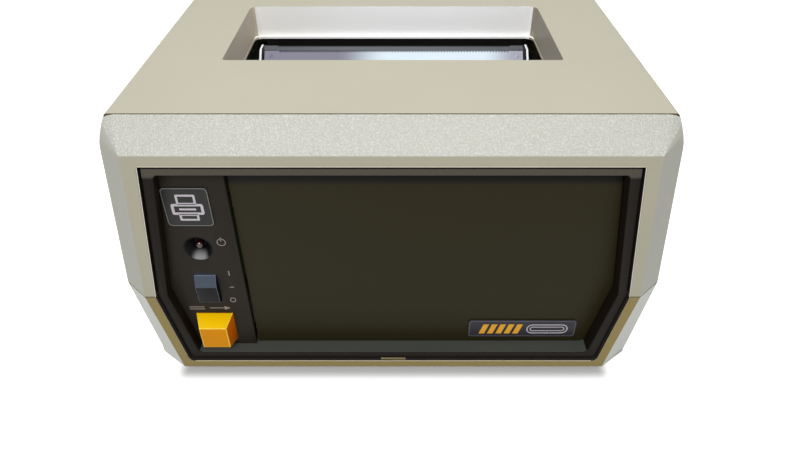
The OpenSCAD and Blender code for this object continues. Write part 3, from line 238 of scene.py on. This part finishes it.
# ---------------------------------------------------------------- materials of the case
plastic("cover_plastic", srgb(184, 180, 161), 0.6, spec=0.35, grain=0.22, cell=0.0011, depth=0.0002)
# The top bevel's pale spots are painted glints, a painted highlight
plastic("case_plastic", srgb(178, 178, 168), 0.26, spec=0.75, grain=1.0, cell=0.0008, painted_glints=0.30)
# The bezel is one plastic. Its front faces (bezel_strip) and side bevels (bezel_side) take their own tones
# beside its top bevel (case_plastic), set to how light falls on each: painted light and shade
plastic("bezel_strip", srgb(172, 168, 148), 0.5, spec=0.3, grain=0.15, cell=0.0010)
plastic("bezel_side", srgb(170, 170, 160), 0.5, spec=0.3, grain=0.25, cell=0.0014)
# The base is one plastic in two tones: the darker olive of its front faces (base_strip) is painted shade with
# warm bounce light, and the paler grey of its bevels (base_side) is painted light from the floor
plastic("base_strip", srgb(142, 127, 80), 0.55, spec=0.25, grain=0.12, cell=0.0010)
plastic("base_side", srgb(192, 194, 186), 0.45, spec=0.4, grain=0.25, cell=0.0014)
# The well's back wall is the cover's plastic painted near white where light falls full on it, and a little
# darker towards left and right: painted light with a painted sheen at its middle
plastic("well_back", srgb(255, 255, 255), 0.4, tint=0.01, grain=0.12, cell=0.003,
        zones=(("X", -0.02, -0.09, srgb(246, 245, 242)), ("X", 0.04, 0.095, srgb(250, 250, 250))))
# The well's side walls: the cover's plastic in a lit tone on the left wall, and darker on the right wall as
# painted shade
plastic("well_side", srgb(200, 188, 168), 0.55, grain=0.10, cell=0.0010,
        zones=(("X", 0.0, 0.01, srgb(152, 143, 126)),))
# edge_pale and edge_tan: pale lines on edges, painted highlights where rounded edges catch the light
plastic("edge_pale", srgb(214, 206, 190), 0.5)
plastic("edge_tan", srgb(206, 190, 164), 0.5)
# seam_dark: faces inside the seam between cover and bezel, painted dark as the shade in the seam
plastic("seam_dark", srgb(96, 84, 64), 0.8)
# gap_dark: the walls of the front opening and the edges at the knee, painted near black as the shade in these
# gaps
plastic("gap_dark", srgb(22, 18, 14), 0.8)
plastic("rubber", srgb(40, 38, 36), 0.8)

# ---------------------------------------------------------------- materials of the front
# Along the top of the frame: a paler band on its lip is a painted highlight, and the near-black band above it
# is the painted shadow of the bezel's edge
plastic("frame_plastic", srgb(22, 17, 12), 0.45, spec=0.1, grain=0.15, cell=0.0005,
        zones=(("Z", 0.1440, 0.1462, srgb(80, 76, 66)), ("Z", 0.1500, 0.1506, srgb(10, 8, 7))))
# frame_sill: the upward face of the frame's foot in a paler tone of the frame's plastic, painted light where
# light from above falls on it
plastic("frame_sill", srgb(70, 73, 68), 0.45, spec=0.2)
plastic("strip_plastic", srgb(37, 33, 27), 0.5, spec=0.1, grain=0.15, cell=0.0005)
# The panel turns near black towards its top: painted shadow under the frame's top lip
plastic("panel_plastic", srgb(38, 34, 17), 0.45, spec=0.1, grain=0.10, cell=0.0004,
        zones=(("Z", 0.1340, 0.1390, srgb(8, 7, 5)),))
plastic("badge_metal", srgb(47, 48, 46), 0.42, spec=0.15)
plastic("name_metal", srgb(46, 45, 52), 0.4, spec=0.2)
plastic("print_grey", srgb(112, 112, 106), 0.5)
plastic("print_dim", srgb(84, 82, 82), 0.5)
plastic("print_light", srgb(188, 182, 190), 0.45)
plastic("print_amber", srgb(222, 160, 24), 0.45, tint=0.02)
plastic("print_worn", srgb(140, 132, 122), 0.6, tint=0.3)

# ---------------------------------------------------------------- materials of lamp, rocker and key
# The lamp cup: a pale crescent low in the cup is painted light, and left and right of it the cup is painted
# back to dark as painted shade
CUP_DARK = srgb(10, 9, 9)
plastic("cup_plastic", CUP_DARK, 0.4, spec=0.1,
        zones=(("Z", 0.0908, 0.0868, srgb(140, 142, 140)), ("X", -0.1095, -0.1130, CUP_DARK),
               ("X", -0.1055, -0.1020, CUP_DARK)))
plastic("lamp_red", srgb(34, 3, 3), 0.08, coat=0.6)
plastic("black_plastic", srgb(15, 13, 11), 0.45, spec=0.2)
# rocker_low is a darker copy of the rocker's plastic, painted shade on its lower half and ends; rocker_edge
# is a paler copy on its softened edges, a painted highlight
plastic("rocker_plastic", srgb(66, 76, 90), 0.34, spec=0.2)
plastic("rocker_low", srgb(20, 20, 22), 0.4, spec=0.15)
plastic("rocker_edge", srgb(124, 134, 152), 0.34)
# The key is one amber plastic in four tones: key_top paler where light falls on its top, key_side darker as
# shade on its right side, key_edge a painted highlight on its softened edges: painted light and shade
plastic("key_amber", srgb(216, 140, 0), 0.34, spec=0.1, tint=0.01)
plastic("key_top", srgb(255, 202, 0), 0.34, spec=0.1, tint=0.01)
plastic("key_side", srgb(222, 108, 0), 0.34, spec=0.1, tint=0.01)
plastic("key_edge", srgb(255, 214, 70), 0.34, spec=0.25, tint=0.01)

# ---------------------------------------------------------------- materials of rear, electronics and paper
plastic("panel_paint", srgb(112, 112, 108), 0.45)
plastic("board_green", srgb(38, 88, 52), 0.4)
plastic("transformer_iron", srgb(110, 100, 84), 0.5)
plastic("capacitor_sleeve", srgb(44, 78, 130), 0.25)
plastic("white_plastic", srgb(216, 208, 188), 0.4)
plastic("ribbon_fabric", srgb(22, 21, 24), 0.9)
plastic("paper", srgb(240, 238, 230), 0.85, tint=0.02)

# ---------------------------------------------------------------- metals, bare and painted
ACROSS = (0.05, 1, 1)   # stretch of a brushing that runs along X
# plate_edge: the side plates' upper edges painted near white, a painted highlight where they catch the light
plastic("plate_edge", srgb(240, 242, 244), 0.3)
plastic("head_metal", srgb(44, 45, 48), 0.4)
metal("zinc", srgb(178, 180, 184), 0.32)
metal("aluminium", srgb(190, 192, 196), 0.35)
metal("mechanism_steel", srgb(190, 192, 192), 0.36, grain=0.2, stretch=ACROSS)
metal("blade_steel", srgb(80, 82, 85), 0.4, spread=0.02)
# The guide's bluish near-white tone, duller towards left and right, stands in for what its polished face
# reflects: painted reflection
metal("guide_steel", srgb(226, 240, 250), 0.14, grain=0.1, stretch=ACROSS,
      zones=(("X", -0.002, -0.040, srgb(140, 138, 154)), ("X", 0.060, 0.085, srgb(170, 172, 184))))
metal("dark_steel", srgb(110, 112, 114), 0.4)
metal("ground_steel", srgb(200, 202, 206), 0.18)
metal("motor_steel", srgb(160, 162, 164), 0.34)
metal("brass", srgb(200, 164, 84), 0.3)

SLOT_OF = {s["node"]: s["material_slot"] for s in frame["record"]["subparts"]}
for name, o in NODES.items():
    o.data.materials.clear()
    o.data.materials.append(MAT[SLOT_OF[name]])


# ---------------------------------------------------------------- skins: CAD nodes with softened edges
SHARP = math.radians(30)    # an edge between faces that turn by more than this is softened
FLAT = math.radians(0.6)    # faces that turn by less than this are one flat face


def link_mesh(bm, name, materials):
    """Makes a piece of the scene from a bmesh."""
    mesh = bpy.data.meshes.new(name)
    bm.to_mesh(mesh)
    bm.free()
    for material in materials:
        mesh.materials.append(MAT[material])
    o = bpy.data.objects.new(name, mesh)
    scene.collection.objects.link(o)
    return o


def nowhere(c):
    return False


def everywhere(c):
    return True


def clean_copy(node, keep):
    """The CAD node's mesh as a bmesh, with its flat faces joined except where keep is true of a point."""
    bm = bmesh.new()
    bm.from_mesh(NODES[node].data)
    bmesh.ops.remove_doubles(bm, verts=bm.verts, dist=2e-6)
    verts = [v for v in bm.verts if not keep(v.co)]
    edges = [e for e in bm.edges if not (keep(e.verts[0].co) and keep(e.verts[1].co))]
    bmesh.ops.dissolve_limit(bm, angle_limit=FLAT, verts=verts, edges=edges)
    bm.normal_update()
    return bm


def cut_flat(bm, point, normal):
    """Takes off what lies past a plane and closes the cut."""
    bmesh.ops.bisect_plane(bm, geom=bm.verts[:] + bm.edges[:] + bm.faces[:], plane_co=point, plane_no=normal,
                           dist=1e-7, clear_outer=True)
    bmesh.ops.holes_fill(bm, edges=[e for e in bm.edges if e.is_boundary])
    bmesh.ops.recalc_face_normals(bm, faces=bm.faces)


def weigh_edges(bm, share, test):
    """Gives each sharp edge a share of the rounding, and the whole where its faces' normals meet test."""
    weight = bm.edges.layers.float.new("bevel_weight_edge")
    for e in bm.edges:
        if len(e.link_faces) == 2 and e.calc_face_angle(0) >= SHARP:
            a, b = [f.normal for f in e.link_faces]
            e[weight] = 1 if test(a, b) else share


def skin(node, materials, bevel, segments=3, regions=(), wide=None, cuts=(), edge=-1,
         keep=nowhere, reshape=None):
    """A copy of a CAD node with edges softened by bevel, in mm, that stands in for it.

    regions: tests (middle, normal) of a face; a face that meets test i takes materials[i + 1].
    wide: (test, width); a sharp edge whose two faces' normals meet the test gets that rounding.
    cuts: (point, normal) planes past which the copy is cut away; its large faces then shade flat.
    edge: index of the material of the softened edges, where they have their own.
    keep: test of a point; there the flat faces stay as they are, such as round the holes of a vent.
    reshape: moves a point in place, before the cuts.
    """
    bm = clean_copy(node, keep)
    if reshape:
        for v in bm.verts:
            reshape(v.co)
    for point, normal in cuts:
        cut_flat(bm, point, normal)
    for f in bm.faces:
        f.smooth = True
        middle = f.calc_center_median()
        for i, test in enumerate(regions):
            if test(middle, f.normal):
                f.material_index = i + 1
    if wide:
        test, width = wide
        weigh_edges(bm, bevel / width, test)
        bevel = width
    o = link_mesh(bm, node + "_skin", materials)
    b = o.modifiers.new("soft_edges", "BEVEL")
    b.width = mm(bevel)
    b.segments = segments
    b.limit_method = "WEIGHT" if wide else "ANGLE"
    b.angle_limit = SHARP
    b.harden_normals = True
    b.use_clamp_overlap = True
    b.miter_outer = "MITER_ARC"
    b.material = edge
    if cuts:
        # Large faces shade flat and the small ones between them shade round
        even = o.modifiers.new("even_shading", "WEIGHTED_NORMAL")
        even.weight = 100
        even.keep_sharp = True
    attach(o, NODES[node]["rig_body"])
    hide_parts(node)


# ---------------------------------------------------------------- the case: planes and the front opening
NEAR = 0.001                            # a face this close to a plane lies in it
FRONT = box_of("front_bezel")[0][1]
KNEE = box_of("base_shell")[1][2]       # height of the widest place, where bezel and base meet
COVER_FRONT = box_of("top_cover")[0][1]
TOP = box_of("top_cover")[1][2]
HOUSING_FRONT = box_of("upper_housing")[0][1]
REAR = box_of("upper_housing")[1][1]
SEAM_GAP = 0.0004                       # how far the cover is drawn back from the seam at its front
KNEE_GAP = 0.00035                      # how far bezel, housing and base draw back from the seam at the knee

# The front opening in mm: half widths at its top, its knee and its foot, its lowest and highest place,
# and the size of the cut at its lower corners
OPEN_TOP, OPEN_KNEE, OPEN_FOOT = 124.5, 135.4, 126.3
OPEN_LOW, OPEN_HIGH, OPEN_CORNER = 10.0, 152.7, 3.0
OPEN_DEPTH = 0.018                      # how deep the walls of the opening are at most, in metres


def facing_front(n):
    return n.y < -0.95


def bezel_top(n):
    return n.z > 0.8 and n.y < -0.2


def bevel_side(n):
    return n.y < -0.4 and abs(n.x) > 0.5


def front_face(c, n):
    """The front plane of bezel and base, with the narrow faces just behind it."""
    return facing_front(n) and c.y < FRONT + 2 * NEAR


def in_opening(c, n):
    """The walls of the front opening."""
    within = abs(c.x) < mm(OPEN_KNEE) + NEAR and mm(OPEN_LOW) - NEAR < c.z < mm(OPEN_HIGH) + NEAR
    return within and abs(n.y) < 0.1 and c.y < FRONT + OPEN_DEPTH and (abs(n.z) > 0.9 or c.x * n.x < 0)


def lower_seam(c, n):
    """Undersides of bezel and housing at the knee."""
    return n.z < -0.99 and c.z < KNEE + NEAR


# ---------------------------------------------------------------- the top cover
# The paper exit well in metres: half width, front, back, and a little above its foot and below its rim
WELL_HALF_W, WELL_FRONT, WELL_BACK = 0.101, -0.092, 0.0045
WELL_LOW, WELL_HIGH = 0.1465, 0.1685
LIP_FRONT = -0.02       # the lip at the foot of the well's back wall lies behind this
TOP_SHEET = 0.0015      # the cover's top is within this of its highest point


def in_well(c):
    return abs(c.x) < WELL_HALF_W and WELL_FRONT < c.y < WELL_BACK and WELL_LOW < c.z < WELL_HIGH


def well_back(c, n):
    """The back wall of the paper exit well and the lip at its foot."""
    return in_well(c) and c.y > LIP_FRONT and (n.y < -0.5 or n.z > 0.5)


def well_side(c, n):
    return in_well(c) and abs(n.x) > 0.5 and c.x * n.x < 0


def cover_front(c, n):
    """The cover's front face, which lies in the seam."""
    return n.y < -0.9 and c.y < COVER_FRONT + NEAR


# The well's back and side walls take painted lit and shaded tones of the cover's plastic, and the cover's
# face in the seam takes seam_dark, painted shade
skin("top_cover", ["cover_plastic", "well_back", "well_side", "seam_dark"], 0.7,
     regions=(well_back, well_side, cover_front),
     cuts=((Vector((0, COVER_FRONT + SEAM_GAP, 0)), Vector((0, -1, 0))),),
     keep=lambda c: c.z < TOP - TOP_SHEET)

# ---------------------------------------------------------------- the front bezel
# Where the crease between the bevels on top and at the side starts on the front plane, in metres,
# and the normals of the two bevels on the side x > 0
CREASE_X, CREASE_Z = 0.1312, 0.1585
TOP_BEVEL = (0, -0.418, 0.908)
SIDE_BEVEL = (0.682, -0.728, 0.075)
CREASE_STEPS = (-0.8, -0.4, 0, 0.4, 0.8)    # the cuts from one bevel to the other, which lie at -1 and 1
CREASE_WIDENING = 0.80                      # how fast the rounding grows towards the cover
FRONT_ROUNDING = 1.6                        # of the front plane's edges, in mm
BACK_SLACK = 0.0003                         # the bezel ends no further than this in front of the housing


def corner_cuts(side):
    """Planes that round the crease between the bevels on top and at one side, more towards the cover."""
    start = Vector((side * CREASE_X, FRONT, CREASE_Z))
    top = Vector(TOP_BEVEL)
    flank = Vector((side * SIDE_BEVEL[0], SIDE_BEVEL[1], SIDE_BEVEL[2]))
    along = top.cross(flank).normalized() * side
    middle = (top + flank).normalized()
    half = top.angle(flank) / 2
    across = (flank - top).normalized()
    cuts = []
    for step in CREASE_STEPS:
        turn = step * half
        face = middle * math.cos(turn) + across * math.sin(turn)
        cuts.append((start, face + along * CREASE_WIDENING * (math.cos(turn) / math.cos(half) - 1)))
    return cuts


def front_rim(a, b):
    """The edges of the front plane with the bevels on top and at the sides."""
    return (facing_front(a) and (bevel_side(b) or bezel_top(b))
            or facing_front(b) and (bevel_side(a) or bezel_top(a)))


def bezel_back(c, n):
    """The bezel's rear edge, which lies in the seam with the cover."""
    return n.y > 0.9 and c.y > HOUSING_FRONT - BACK_SLACK


def bezel_gaps(c, n):
    """The walls of the front opening and the bezel's lower edge at the knee."""
    return in_opening(c, n) or lower_seam(c, n)


above_knee = (Vector((0, 0, KNEE + KNEE_GAP)), Vector((0, 0, -1)))
below_knee = (Vector((0, 0, KNEE - KNEE_GAP)), Vector((0, 0, 1)))
# Front faces and side bevels take painted lit and shaded tones of the one plastic; the opening's walls and
# the knee edge are painted near black as shade
skin("front_bezel", ["case_plastic", "bezel_strip", "bezel_side", "seam_dark", "gap_dark"],
     0.5, regions=(front_face, lambda c, n: bevel_side(n), bezel_back, bezel_gaps),
     wide=(front_rim, FRONT_ROUNDING), cuts=[above_knee] + corner_cuts(1) + corner_cuts(-1))

# ---------------------------------------------------------------- the upper housing
REAR_WALL = 0.01        # the vents lie within this of the rear

# Its underside at the knee is painted near black as shade in the seam
skin("upper_housing", ["cover_plastic", "gap_dark"], 0.5,
     regions=(lower_seam,), cuts=(above_knee,), keep=lambda c: c.y > REAR - REAR_WALL)

# ---------------------------------------------------------------- the base
# The rounding of its lower corners in mm, in the solid and as drawn out here, each with its centre's x
BASE_LOW = box_of("base_shell")[0][2] * 1000
SOLID_ROUND, SOLID_ROUND_X = 5.5, 144.59
DRAWN_ROUND, DRAWN_ROUND_X = 2.5, 147.32
ROUND_SLACK, SIDE_SLACK = 0.1, 0.01     # mm that a point of it may lie off the arc and beyond its end


def tighter_foot(co):
    """Draws the lower corners of the base out to their tighter rounding."""
    side = math.copysign(1, co.x)
    x = co.x * side - mm(SOLID_ROUND_X)
    z = co.z - mm(BASE_LOW + SOLID_ROUND)
    if x >= -mm(SIDE_SLACK) and z <= 0 and abs(math.hypot(x, z) - mm(SOLID_ROUND)) < mm(ROUND_SLACK):
        co.x = side * (mm(DRAWN_ROUND_X) + x * DRAWN_ROUND / SOLID_ROUND)
        co.z = mm(BASE_LOW + DRAWN_ROUND) + z * DRAWN_ROUND / SOLID_ROUND


def base_gaps(c, n):
    """The walls of the front opening and the base's upper edge at the knee."""
    return in_opening(c, n) or n.z > 0.99 and c.z > KNEE - NEAR


# Front faces and bevels take the base's painted shaded and lit tones; the opening's walls and the knee edge
# are painted near black as shade; the softened edges take edge_tan, a painted highlight
skin("base_shell", ["base_side", "base_strip", "gap_dark", "edge_tan"], 0.5,
     regions=(front_face, base_gaps), cuts=(below_knee,), edge=3, reshape=tighter_foot)


# ---------------------------------------------------------------- the front's frame, panels and plates
SILL_LOW, SILL_HIGH = 0.011, 0.03       # the upper side of the frame's foot lies between these heights


def sill(c, n):
    return n.z > 0.7 and SILL_LOW < c.z < SILL_HIGH


# The upward face of its foot takes frame_sill, painted light
skin("front_frame", ["frame_plastic", "frame_sill"], 0.7, regions=(sill,))
skin("front_panel", ["panel_plastic"], 0.4)
skin("control_panel", ["strip_plastic"], 0.4, keep=everywhere)
skin("badge_plate", ["badge_metal"], 0.25)
skin("name_plate", ["name_metal"], 0.25)


# ---------------------------------------------------------------- the controls
def rocker_dark(c, n):
    """The rocker's ends at left and right and its lower half."""
    return abs(n.x) > 0.5 or n.y < -0.2 and n.z < 0


def key_top(c, n):
    return n.y < -0.2 and n.z > 0.4


def key_right(c, n):
    return n.y < -0.1 and n.x > 0.3


skin("switch_body", ["black_plastic"], 0.3)
# Lower half and ends take rocker_low, painted shade; softened edges take rocker_edge, a painted highlight
skin("power_rocker", ["rocker_plastic", "rocker_low", "rocker_edge"], 0.4,
     regions=(rocker_dark,), edge=2)
# Top, right side and edges take painted lit, shaded and highlight tones of the amber
skin("advance_key", ["key_amber", "key_top", "key_side", "key_edge"], 0.9, segments=4,
     regions=(key_top, key_right), edge=3)


# ---------------------------------------------------------------- the mechanism's side plates
RIM_LOW = 0.12          # the bright upper edge of a plate lies above this


def plate_rim(c, n):
    return abs(n.x) < 0.5 and n.z > 0.3 and c.z > RIM_LOW


# The plates' upper edges take plate_edge, a painted highlight
for plate in ("side_plate_left", "side_plate_right"):
    skin(plate, ["mechanism_steel", "plate_edge"], 0.2, regions=(plate_rim,))


# ---------------------------------------------------------------- flat shapes on upright faces
def join_loops(bm, a, b):
    """Faces between two loops of as many vertices."""
    for i in range(len(a)):
        j = (i + 1) % len(a)
        bm.faces.new((a[i], a[j], b[j], b[i]))


def sheet(name, shapes, y, thick, material):
    """Thin shapes in front of y, each an outline of (x, z) and its hole or None. All in mm."""
    bm = bmesh.new()
    for outer, hole in shapes:
        sides = [(outer, y), (outer, y - thick)]
        if hole:
            sides += [(hole, y - thick), (hole, y)]
        rings = [[bm.verts.new((mm(x), mm(depth), mm(z))) for x, z in loop] for loop, depth in sides]
        if hole:
            for a, b in zip(rings, rings[1:] + rings[:1]):
                join_loops(bm, a, b)
        else:
            bm.faces.new(rings[1])
            bm.faces.new(rings[0][::-1])
            join_loops(bm, rings[0], rings[1])
    bmesh.ops.recalc_face_normals(bm, faces=bm.faces)
    o = link_mesh(bm, name, [material])
    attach(o, "case")


def round_box(cx, cz, w, h, r, steps=6):
    """Points round a rounded rectangle."""
    points = []
    for sx, sz, start in ((1, 1, 0), (-1, 1, 90), (-1, -1, 180), (1, -1, 270)):
        for i in range(steps + 1):
            a = math.radians(start + 90 * i / steps)
            points.append((cx + sx * (w / 2 - r) + r * math.cos(a), cz + sz * (h / 2 - r) + r * math.sin(a)))
    return points


def ring(cx, cz, w, h, r, line):
    """A rounded rectangle drawn as a line of that width."""
    return (round_box(cx, cz, w, h, r), round_box(cx, cz, w - 2 * line, h - 2 * line, max(0.05, r - line)))


def bar(cx, cz, w, h):
    """A bar with slightly rounded corners."""
    return (round_box(cx, cz, w, h, min(w, h) * 0.2, 2), None)


def slanted_bar(x, z, w, h, lean):
    """A bar from its lower left corner up, whose upper end lies further right by lean."""
    return ([(x, z), (x + w, z), (x + w + lean, z + h), (x + lean, z + h)], None)


# ---------------------------------------------------------------- printed plates, all generic
INK = 0.06      # how far a printed line stands out, in mm

# The badge: a plain sign of a printer with its paper
badge_x, badge_z = middle_of("badge_plate")
badge_face = front_of("badge_plate")
sheet("badge_outline", [ring(badge_x, badge_z, 24.3, 24.3, 2.4, 0.4)],
      badge_face, INK, "print_grey")
sheet("badge_sign", [
    ring(badge_x, badge_z - 1.2, 17.0, 7.0, 1.2, 1.5), ring(badge_x, badge_z + 5.0, 10.4, 6.4, 0.8, 1.2),
    bar(badge_x, badge_z - 1.2, 9.0, 1.2), ring(badge_x, badge_z - 6.4, 10.4, 4.4, 0.6, 1.2),
], badge_face, INK, "print_light")

# The name plate: slanted bars and an outlined pill
name_x, name_z = middle_of("name_plate")
name_face = front_of("name_plate")
sheet("name_outline", [ring(name_x, name_z, 65.3, 13.1, 1.8, 0.4)],
      name_face, INK, "print_dim")
sheet("name_band_left", [slanted_bar(name_x - 26.5 + 5.2 * i, name_z - 4.2, 3.4, 8.0, 2.5) for i in range(5)],
      name_face, INK, "print_amber")
sheet("name_band_right", [ring(name_x + 15.5, name_z - 0.2, 25.5, 7.8, 3.9, 0.7),
                          ring(name_x + 15.5, name_z - 0.2, 21.5, 3.8, 1.9, 0.6)],
      name_face, INK, "print_light")

# ---------------------------------------------------------------- painted highlight lines round the front opening
# Thin pale sheets just behind the front plane, painted highlights where the opening's edges catch the light
HIGHLIGHT_THICK = 0.1                                      # thickness in mm
HIGHLIGHT_BACK = front_of("front_bezel") + 0.15      # so its face lies 0.05 behind the front plane


def opening_loop(inset):
    """Points round the front opening, drawn in by inset: up the right side and down the left."""
    foot, low = OPEN_FOOT - inset, OPEN_LOW + inset
    right = [(foot - OPEN_CORNER, low), (foot, low + OPEN_CORNER),
             (OPEN_KNEE - inset, KNEE * 1000), (OPEN_TOP - inset, OPEN_HIGH - inset)]
    return right + [(-x, z) for x, z in reversed(right)]


outer_loop, inner_loop = opening_loop(0.05), opening_loop(0.5)
# From the knee on the right, over the top, to the knee on the left
sheet("opening_highlight_line", [(outer_loop[2:6] + inner_loop[2:6][::-1], None)], HIGHLIGHT_BACK, HIGHLIGHT_THICK,
      "edge_pale")
# Along the foot
sheet("foot_highlight_line", [([outer_loop[7], outer_loop[0], inner_loop[0], inner_loop[7]], None)], HIGHLIGHT_BACK, HIGHLIGHT_THICK,
      "edge_tan")

# ---------------------------------------------------------------- signs beside the controls
# Power; on, a dash and off; paper feed
WORN_INK = 0.05     # how far these worn lines stand out, in mm
lamp_x = middle_of("power_lamp")[0]
sheet("control_signs", [
    ring(lamp_x + 13.5, 98.2, 5.0, 5.0, 2.5, 0.45),
    bar(lamp_x + 13.5, 100.2, 0.5, 2.8),
    bar(lamp_x + 14.0, 75.4, 0.6, 3.6),
    bar(lamp_x + 14.0, 64.7, 2.6, 0.6),
    ring(lamp_x + 13.0, 54.4, 3.4, 3.8, 1.7, 0.5),
    bar(lamp_x - 9.5, 48.6, 9.0, 0.6),
    bar(lamp_x - 9.5, 46.9, 9.0, 0.6),
    bar(lamp_x + 2.5, 47.75, 9.0, 0.6),
    ([(lamp_x + 7.0, 46.2), (lamp_x + 10.4, 47.75), (lamp_x + 7.0, 49.3)], None),
], front_of("control_panel"), WORN_INK, "print_worn")

# ---------------------------------------------------------------- stage and light
FLOOR_HALF = 6                          # metres
FLOOR_TONE = 0.5
# Near the footprint the glow fades, painting a shadow at the part's foot on top of the one the floor takes:
# painted shadow
FOOT_HALF_W, FOOT_HALF_D = 0.129, 0.179     # metres, the part's footprint
SHADOW_TONE, SHADOW_REACH = 0.10, 0.012     # the floor's glow at the foot, and metres until it is full
SKY = 0.38                              # strength of the light from all round


def seen_directly(t):
    """1 for what the eye sees, also in a mirror and through glass, and 0 for light that falls on things."""
    rays = t.nodes.new("ShaderNodeLightPath").outputs
    eye = calc(t, "MAXIMUM", rays["Is Camera Ray"], rays["Is Glossy Ray"])
    return calc(t, "MAXIMUM", eye, rays["Is Transmission Ray"])


def pick_shader(t, factor, first, second):
    """The first shader where factor is 0 and the second where it is 1."""
    pick = t.nodes.new("ShaderNodeMixShader")
    for v, socket in zip((factor, first.outputs[0], second.outputs[0]), pick.inputs):
        t.links.new(v, socket)
    return pick.outputs[0]


def stage_floor():
    """A pale floor that the eye and bright metal see white, but for a soft shadow at the part's foot, partly
    cast on it and partly painted by a glow that fades near the footprint.
    """
    bm = bmesh.new()
    bmesh.ops.create_grid(bm, x_segments=1, y_segments=1, size=FLOOR_HALF)
    m, t, p = node_material("floor")
    MAT["floor"] = m
    p.inputs["Base Color"].default_value = (FLOOR_TONE, FLOOR_TONE, FLOOR_TONE, 1)
    p.inputs["Roughness"].default_value = 0.9
    p.inputs["Specular IOR Level"].default_value = 0.0
    where = t.nodes.new("ShaderNodeTexCoord").outputs["Object"]
    place = add(t, "ShaderNodeSeparateXYZ", Vector=where).outputs
    outside = t.nodes.new("ShaderNodeCombineXYZ")
    for axis, half in ((0, FOOT_HALF_W), (1, FOOT_HALF_D)):
        past = calc(t, "SUBTRACT", calc(t, "ABSOLUTE", place[axis]), half)
        t.links.new(calc(t, "MAXIMUM", past, 0.0), outside.inputs[axis])
    distance = t.nodes.new("ShaderNodeVectorMath")
    distance.operation = "LENGTH"
    t.links.new(outside.outputs[0], distance.inputs[0])
    bright = remap(t, distance.outputs["Value"], 0, SHADOW_REACH, SHADOW_TONE, 1, smooth=True)
    glow = add(t, "ShaderNodeEmission", Color=WHITE, Strength=bright)
    none = add(t, "ShaderNodeEmission", Color=BLACK, Strength=0.0)
    both = t.nodes.new("ShaderNodeAddShader")
    t.links.new(p.outputs[0], both.inputs[0])
    t.links.new(pick_shader(t, seen_directly(t), none, glow), both.inputs[1])
    t.links.new(both.outputs[0], t.nodes["Material Output"].inputs["Surface"])
    o = link_mesh(bm, "floor", ["floor"])


def white_world():
    """Even light from all round, in front of which the eye sees white."""
    world = bpy.data.worlds.new("world")
    scene.world = world
    world.use_nodes = True
    t = world.node_tree
    sky = t.nodes["Background"]
    sky.inputs["Color"].default_value = WHITE
    sky.inputs["Strength"].default_value = SKY
    seen = add(t, "ShaderNodeBackground", Color=WHITE, Strength=1.0)
    t.links.new(pick_shader(t, seen_directly(t), sky, seen), t.nodes["World Output"].inputs["Surface"])


def lamp(name, place, aim, size, power):
    d = bpy.data.lights.new(name, "AREA")
    d.shape = "RECTANGLE"
    d.size, d.size_y = size
    d.energy = power
    o = bpy.data.objects.new(name, d)
    scene.collection.objects.link(o)
    o.location = place
    o.rotation_euler = (Vector(aim) - Vector(place)).to_track_quat("-Z", "Y").to_euler()


stage_floor()
white_world()
# Place, aim and size in metres, power in watts
lamp("overhead", (0.0, 0.01, 0.80), (0.0, -0.03, 0.1), (0.18, 0.20), 1.7)
lamp("front_high", (-0.08, -0.92, 0.82), (0, -0.1, 0.1), (0.6, 0.45), 7.6)
